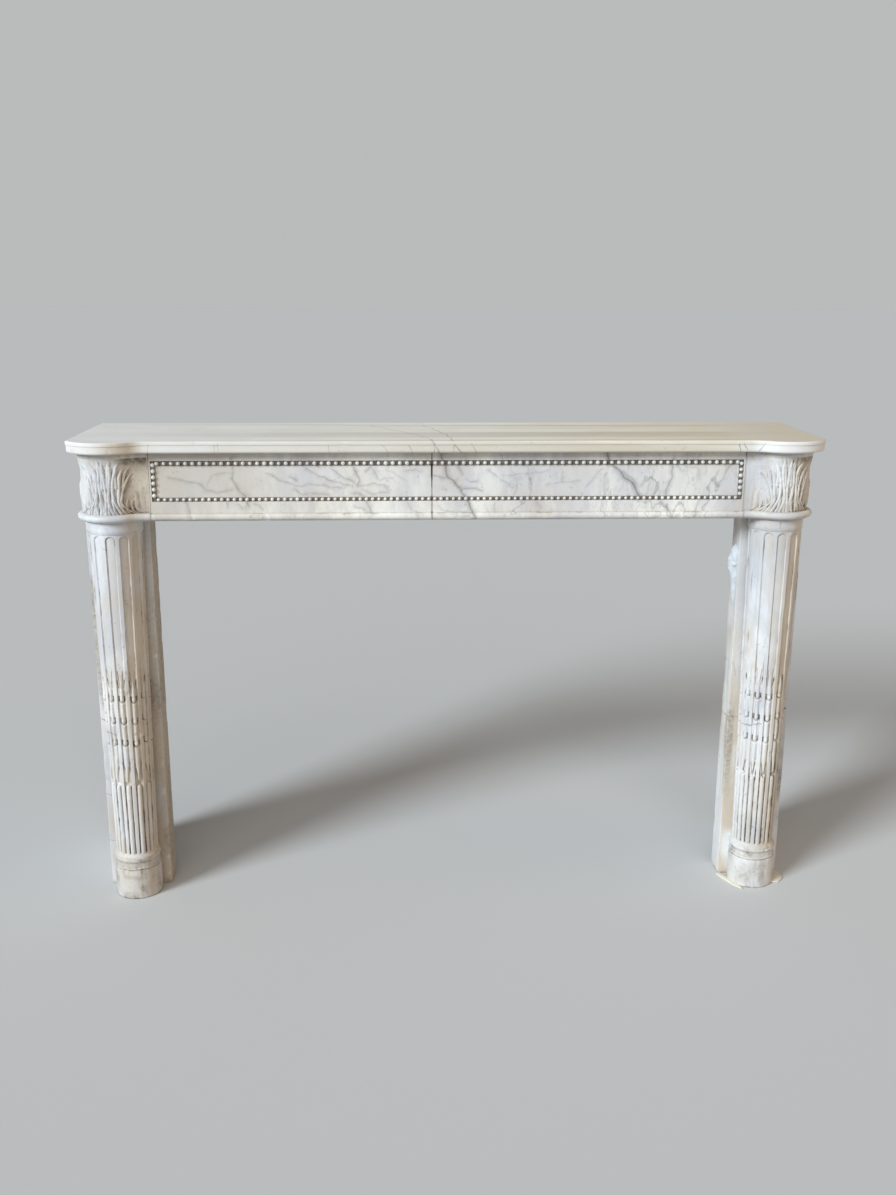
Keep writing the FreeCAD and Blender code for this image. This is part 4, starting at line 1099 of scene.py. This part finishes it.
def vein_web_group():
    """Fine branching veins: thin lines where a warped noise crosses its middle value."""
    nodes, given, result = shader_group(
        "Vein web", {"Vector": (0, 0, 0), "Scale": 8.0, "Width": 0.02, "Cover": 0.5}, ("Mask",))
    place, scale = given["Vector"], given["Scale"]
    warp = nodes.vector("SCALE", nodes.noise(place, scale, 2.0)["Color"], scale=0.11)
    field = nodes.noise(nodes.vector("ADD", place, warp), scale, 6.0, 0.55)["Fac"]
    distance = nodes.maths("ABSOLUTE", nodes.maths("SUBTRACT", field, 0.5))
    thin = nodes.between(distance, 0.0, given["Width"], 1.0, 0.0)
    limit = nodes.maths("SUBTRACT", 1.0, given["Cover"])
    shown = nodes.between(nodes.noise(place, 5.0, 2.0)["Fac"], limit, nodes.maths("ADD", limit, 0.18))
    nodes.feed(result["Mask"], nodes.maths("MULTIPLY", thin, shown))


def vein_line_group():
    """One vein between two points, wavering and of uneven strength; Axes says which axes count."""
    nodes, given, result = shader_group(
        "Vein line", {"Vector": (0, 0, 0), "Start": (0, 0, 0), "End": (1, 0, 0), "Axes": (1, 1, 1),
                      "Width": 0.003, "Waver": 0.02}, ("Mask",))
    place, start, axes = given["Vector"], given["Start"], given["Axes"]
    bend = nodes.vector("SUBTRACT", nodes.noise(place, 24.0, 4.0)["Color"], (0.5, 0.5, 0.5))
    point = nodes.vector("ADD", place, nodes.vector("SCALE", bend, scale=given["Waver"]))
    from_start = nodes.vector("MULTIPLY", nodes.vector("SUBTRACT", point, start), axes)
    course = nodes.vector("MULTIPLY", nodes.vector("SUBTRACT", given["End"], start), axes)
    along = nodes.vector("DOT_PRODUCT", from_start, course)
    share = nodes.maths("DIVIDE", along, nodes.vector("DOT_PRODUCT", course, course), clamp=True)
    beside = nodes.vector("SUBTRACT", from_start, nodes.vector("SCALE", course, scale=share))
    uneven = nodes.between(nodes.noise(place, 70.0, 3.0)["Fac"], 0.3, 0.7, 0.35, 1.3, "LINEAR")
    width = nodes.maths("MULTIPLY", given["Width"], uneven)
    nodes.feed(result["Mask"], nodes.between(nodes.vector("LENGTH", beside), 0.0, width, 1.0, 0.0))


def old_surface_group():
    """Age of a stone surface: a patina mask and a dirt mask, which also carry the painted shade that comes
    in with the grime and stain marks, and the height of its pits and scratches.
    """
    nodes, given, result = shader_group(
        "Old surface", {"Vector": (0, 0, 0), "Grime": 0.0, "Patina": 0.4, "Streaks": 0.0, "Stain": 0.0},
        ("Patina", "Dirt", "Height"))

    def noise(scale, detail, place=given["Vector"]):
        return nodes.noise(place, scale, detail, 0.6)["Fac"]

    maths, between = nodes.maths, nodes.between
    stain = maths("MULTIPLY", between(noise(7.0, 5.0), 0.42, 0.72), given["Patina"])
    drawn = nodes.add("ShaderNodeMapping", Vector=given["Vector"], Scale=(1, 1, 0.08)).outputs[0]
    streak = maths("MULTIPLY", between(noise(48.0, 3.0, drawn), 0.48, 0.72), given["Streaks"])
    held = maths("ADD", maths("MULTIPLY", given["Grime"], 0.7), given["Stain"])
    nodes.feed(result["Patina"], maths("ADD", maths("ADD", stain, streak), held, clamp=True))
    broken = between(noise(120.0, 4.0), 0.35, 0.65, 0.45, 1.1)
    held_dirt = maths("MULTIPLY", between(given["Grime"], 0.25, 1.0), broken)
    specks = maths("MULTIPLY", between(noise(85.0, 3.0), 0.62, 0.76), given["Patina"])
    patchy = between(noise(90.0, 2.0), 0.3, 0.6, 0.75, 1.0)
    soot_and_shade = maths("MULTIPLY", between(given["Grime"], 0.86, 0.95), patchy)
    nodes.feed(result["Dirt"], maths("ADD", maths("MAXIMUM", held_dirt, soot_and_shade), specks, clamp=True))
    pits = maths("ADD", maths("MULTIPLY", noise(40.0, 3.0), 2.0), noise(380.0, 3.0))
    nodes.feed(result["Height"], pits)


def new_material(name, **values):
    """Material with plain values for its shader: itself, its node helper and the shader's inputs."""
    made = bpy.data.materials.new(name)
    made.use_nodes = True
    shader = made.node_tree.nodes["Principled BSDF"].inputs
    for label, value in values.items():
        shader[label].default_value = value
    return made, Nodes(made.node_tree), shader


def rough_up(nodes, shader, height, strength, distance):
    """Bump on a shader from a height."""
    bump = nodes.add("ShaderNodeBump", Strength=strength, Distance=distance, Height=height)
    nodes.feed(shader["Normal"], bump.outputs[0])


def on_face(pair, axes):
    """Point in space from its two coordinates on a face; the third doesn't count."""
    counted = iter(pair)
    return [next(counted) * MM if axis else 0 for axis in axes]


def marble(name, white, grey, stretch=(1, 1, 0.45), cover=0.45, web_dark=0.4, web_width=1.0, patina=0.3,
           streaks=0.0, roughness=0.4, mottle=0.28, lilac=None, tones=(), veins=()):
    """Old marble: clouded ground, a web of veins, drawn veins, patina and dirt in the hollows, with the
    painted shade that the grime and stain marks carry.

    A tone has its colour, the X where it starts, the X where it is full, its share, and whether only the
    top takes it.
    """
    made, nodes, shader = new_material(name, **{"Specular IOR Level": MARBLE_SPECULAR})
    blend, maths, between, mark = nodes.blend, nodes.maths, nodes.between, nodes.mark
    place = nodes.add("ShaderNodeTexCoord").outputs["Object"]
    tilted = nodes.add("ShaderNodeMapping", Vector=place, Rotation=CLOUD_TILT, Scale=stretch).outputs[0]
    cloud = between(nodes.noise(tilted, CLOUD_SCALE, 6.0, 0.6, 0.6)["Fac"], 0.38, 0.68)
    colour = blend(cloud, white, grey)
    if lilac:
        shaded = between(cloud, 0.0, 1.0, 0.4, 0.8, "LINEAR")
        colour = blend(maths("MULTIPLY", mark("lilac"), shaded), colour, lilac)
    flecks = between(nodes.noise(tilted, FLECK_SCALE, 5.0, 0.7)["Fac"], 0.44, 0.68, 0.0, mottle)
    colour = blend(flecks, colour, grey)
    along = nodes.add("ShaderNodeSeparateXYZ", Vector=place).outputs["X"]
    normal = nodes.add("ShaderNodeNewGeometry").outputs["Normal"]
    upward = nodes.add("ShaderNodeSeparateXYZ", Vector=normal).outputs["Z"]
    on_top = between(upward, 0.3, 0.9, kind="LINEAR")
    for tone, none_at, full_at, part, only_top in tones:
        share = between(along, none_at, full_at, 0.0, part, "LINEAR")
        share = maths("MULTIPLY", share, on_top) if only_top else share
        colour = blend(share, colour, tone)
    for scale, width, part in WEBS:
        web = nodes.group("Vein web", Vector=tilted, Scale=scale, Width=width * web_width, Cover=cover)
        colour = blend(maths("MULTIPLY", web["Mask"], web_dark * part), colour, VEIN)
    colour = blend(mark("vein"), colour, VEIN)
    for axes, width, dark, *course in veins:
        points = [on_face(pair, axes) for pair in course]
        for start, end in zip(points, points[1:]):
            drawn = nodes.group("Vein line", Vector=place, Start=start, End=end, Axes=axes,
                                Width=width * MM, Waver=VEIN_WAVER)
            colour = blend(maths("MULTIPLY", drawn["Mask"], dark), colour, VEIN)
    age = nodes.group("Old surface", Vector=place, Grime=mark("grime"), Stain=mark("stain"), Patina=patina,
                      Streaks=streaks)
    colour = blend(maths("MULTIPLY", age["Patina"], PATINA_SHARE), colour, PATINA)
    colour = blend(maths("MULTIPLY", age["Dirt"], DIRT_SHARE), colour, DIRT)
    nodes.feed(shader["Base Color"], colour)
    dulled = between(age["Patina"], 0.0, 1.0, roughness, roughness + 0.25, "LINEAR")
    nodes.feed(shader["Roughness"], dulled)
    rough_up(nodes, shader, age["Height"], 0.25, 0.4 * MM)
    return made


def lime_mortar(name, pale, dark):
    """Pale crumbly mortar."""
    made, nodes, shader = new_material(name, Roughness=0.9)
    place = nodes.add("ShaderNodeTexCoord").outputs["Object"]
    grain = nodes.noise(place, 160.0, 6.0, 0.7)["Fac"]
    nodes.feed(shader["Base Color"], nodes.blend(grain, pale, dark))
    rough_up(nodes, shader, grain, 0.7, 1 * MM)
    return made


def rusty_iron():
    """Wrought iron under a skin of rust."""
    made, nodes, shader = new_material("rusty wrought iron", Metallic=0.6, Roughness=0.75)
    place = nodes.add("ShaderNodeTexCoord").outputs["Object"]
    age = nodes.group("Old surface", Vector=place, Grime=0.3, Patina=0.9)
    nodes.feed(shader["Base Color"], nodes.blend(age["Patina"], IRON, RUST))
    rough_up(nodes, shader, age["Height"], 0.5, 0.5 * MM)
    return made


# Build

vein_web_group()
vein_line_group()
old_surface_group()
# On the shelf the cool tone towards the left end is painted light, the tint of the cool key light, and the
# beige that only the top takes towards the right is painted warm light
shelf_marble = marble("cream veined marble", CREAM, TAWNY, stretch=(0.07, 1.6, 1), cover=0.36,
                      web_dark=0.25, patina=0.2, roughness=0.7, mottle=0.16, veins=SHELF_VEINS,
                      tones=((COOL, 0.3, -HALF_WIDTH, 0.8, False), (COOL, 0.56, 0.62, 0.7, False),
                             (BEIGE, 0.05, HALF_WIDTH, 0.85, True)))
# The dun tone that grows towards the left end of the frieze is painted shade, where the left capital shades
# it
frieze_marble = marble("lilac veined marble", IVORY, MAUVE, cover=0.52, web_dark=0.45, web_width=0.55,
                       patina=0.35, roughness=0.38, lilac=LILAC, mottle=0.45,
                       tones=((DUN, -0.24, -JOINT_X, 0.7, False),))
column_marble = marble("white veined marble", WHITE, GREY, cover=0.48, web_dark=0.3, patina=0.4,
                       streaks=0.45, roughness=0.42, veins=JAMB_VEINS)
bead_marble = marble("white bead marble", BEAD_WHITE, GREY, cover=0.3, web_dark=0.2)
mortar = lime_mortar("lime mortar", MORTAR, MORTAR_DARK)
plaster = lime_mortar("white plaster", PLASTER, PLASTER_DARK)
iron = rusty_iron()
bead_tree = bead_row_tree()

make_shelf(shelf_marble)
for side in SIDES:
    make_frieze(side, frieze_marble)
    make_beads(side, bead_tree, bead_marble)
    make_capital(side, column_marble)
    make_column(side, column_marble)
    make_plinth(side, column_marble)
    make_block(f"jamb_stone_{side}", f"jamb_slab_{side}", column_marble, seed_of("jamb stone", side))
    make_block(f"jamb_side_{side}", f"jamb_return_{side}", column_marble, seed_of("jamb side", side))
    make_frieze_return(side, column_marble)
make_mortar_lump(plaster)
make_mortar_flake("mortar_flake_outer", mortar, (0.727, -0.076), (0.018, 0.034), 4 * MM,
                  SEEDS["outer flake"], point=0.4)
make_mortar_flake("mortar_flake_inner", mortar, (0.6255, -0.092), (0.008, 0.044), 3 * MM,
                  SEEDS["inner flake"], turned=26)
for name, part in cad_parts.items():
    if any(word in name for word in ("dowel", "pin", "cramp")):
        part.data.materials.clear()
        part.data.materials.append(iron)


# Floor, light and camera

FLOOR_HALF = 60
# Wide even lights from far away: bearing from the front towards the right and height in degrees,
# strength, softness in degrees and colour
LIGHTS = {
    "cool key": (-50, 27, 3.5, 20, (0.85, 0.94, 1.0)),
    "front fill": (-6, 36, 0.7, 50, (1.0, 0.97, 0.92)),
    "warm side": (78, 8, 0.8, 40, (1.0, 0.66, 0.34)),
}
AMBIENT_STRENGTH = 0.18
CAMERA_PLACE = (-0.1035, -2.4554, 1.2860)
CAMERA_PITCH = math.radians(14.876)
CAMERA_YAW = math.radians(2.456)
CAMERA_ROLL = math.radians(0.193)
CAMERA_LENS = 35.66
SENSOR_WIDTH = 36


def make_floor():
    work = bmesh.new()
    bmesh.ops.create_grid(work, x_segments=1, y_segments=1, size=FLOOR_HALF)
    mesh = bpy.data.meshes.new("floor")
    work.to_mesh(mesh)
    work.free()
    look = {"Base Color": FLOOR, "Roughness": 1.0, "Specular IOR Level": 0.0}
    mesh.materials.append(new_material("pale floor", **look)[0])
    floor = linked("floor", mesh)


def make_light():
    for name, (bearing, height, strength, softness, colour) in LIGHTS.items():
        data = bpy.data.lights.new(name, "SUN")
        data.energy = strength
        data.angle = math.radians(softness)
        data.color = colour
        linked(name, data).rotation_euler = (math.radians(90 - height), 0, math.radians(bearing))
    # The world lights the stone as a dim warm sky, and is seen as a plain backdrop
    world = bpy.data.worlds.new("studio")
    world.use_nodes = True
    nodes = Nodes(world.node_tree)
    ambient = nodes.tree.nodes["Background"]
    ambient.inputs["Color"].default_value = AMBIENT
    ambient.inputs["Strength"].default_value = AMBIENT_STRENGTH
    backdrop = nodes.add("ShaderNodeBackground", Color=BACKDROP, Strength=1.0)
    ray = nodes.add("ShaderNodeLightPath").outputs
    seen = nodes.maths("MAXIMUM", ray["Is Camera Ray"], ray["Is Glossy Ray"])
    seen = nodes.maths("MAXIMUM", seen, ray["Is Transmission Ray"])
    mixed = nodes.add("ShaderNodeMixShader", i0=seen, i1=ambient.outputs[0], i2=backdrop.outputs[0])
    nodes.feed(nodes.tree.nodes["World Output"].inputs["Surface"], mixed.outputs[0])
    bpy.context.scene.world = world


def make_camera():
    data = bpy.data.cameras.new("photo camera")
    data.sensor_width = SENSOR_WIDTH
    data.lens = CAMERA_LENS
    level = math.cos(CAMERA_PITCH)
    ahead = Vector((math.sin(CAMERA_YAW) * level, math.cos(CAMERA_YAW) * level, -math.sin(CAMERA_PITCH)))
    right = Vector((math.cos(CAMERA_YAW), -math.sin(CAMERA_YAW), 0))
    up = right.cross(ahead)
    roll = Matrix.Rotation(CAMERA_ROLL, 3, -ahead)
    turned = Matrix((roll @ right, roll @ up, -ahead)).transposed().to_4x4()
    made = linked("photo camera", data)
    made.matrix_world = Matrix.Translation(CAMERA_PLACE) @ turned
    bpy.context.scene.camera = made


make_floor()
make_light()
make_camera()
bpy.context.scene.view_settings.view_transform = "Standard"
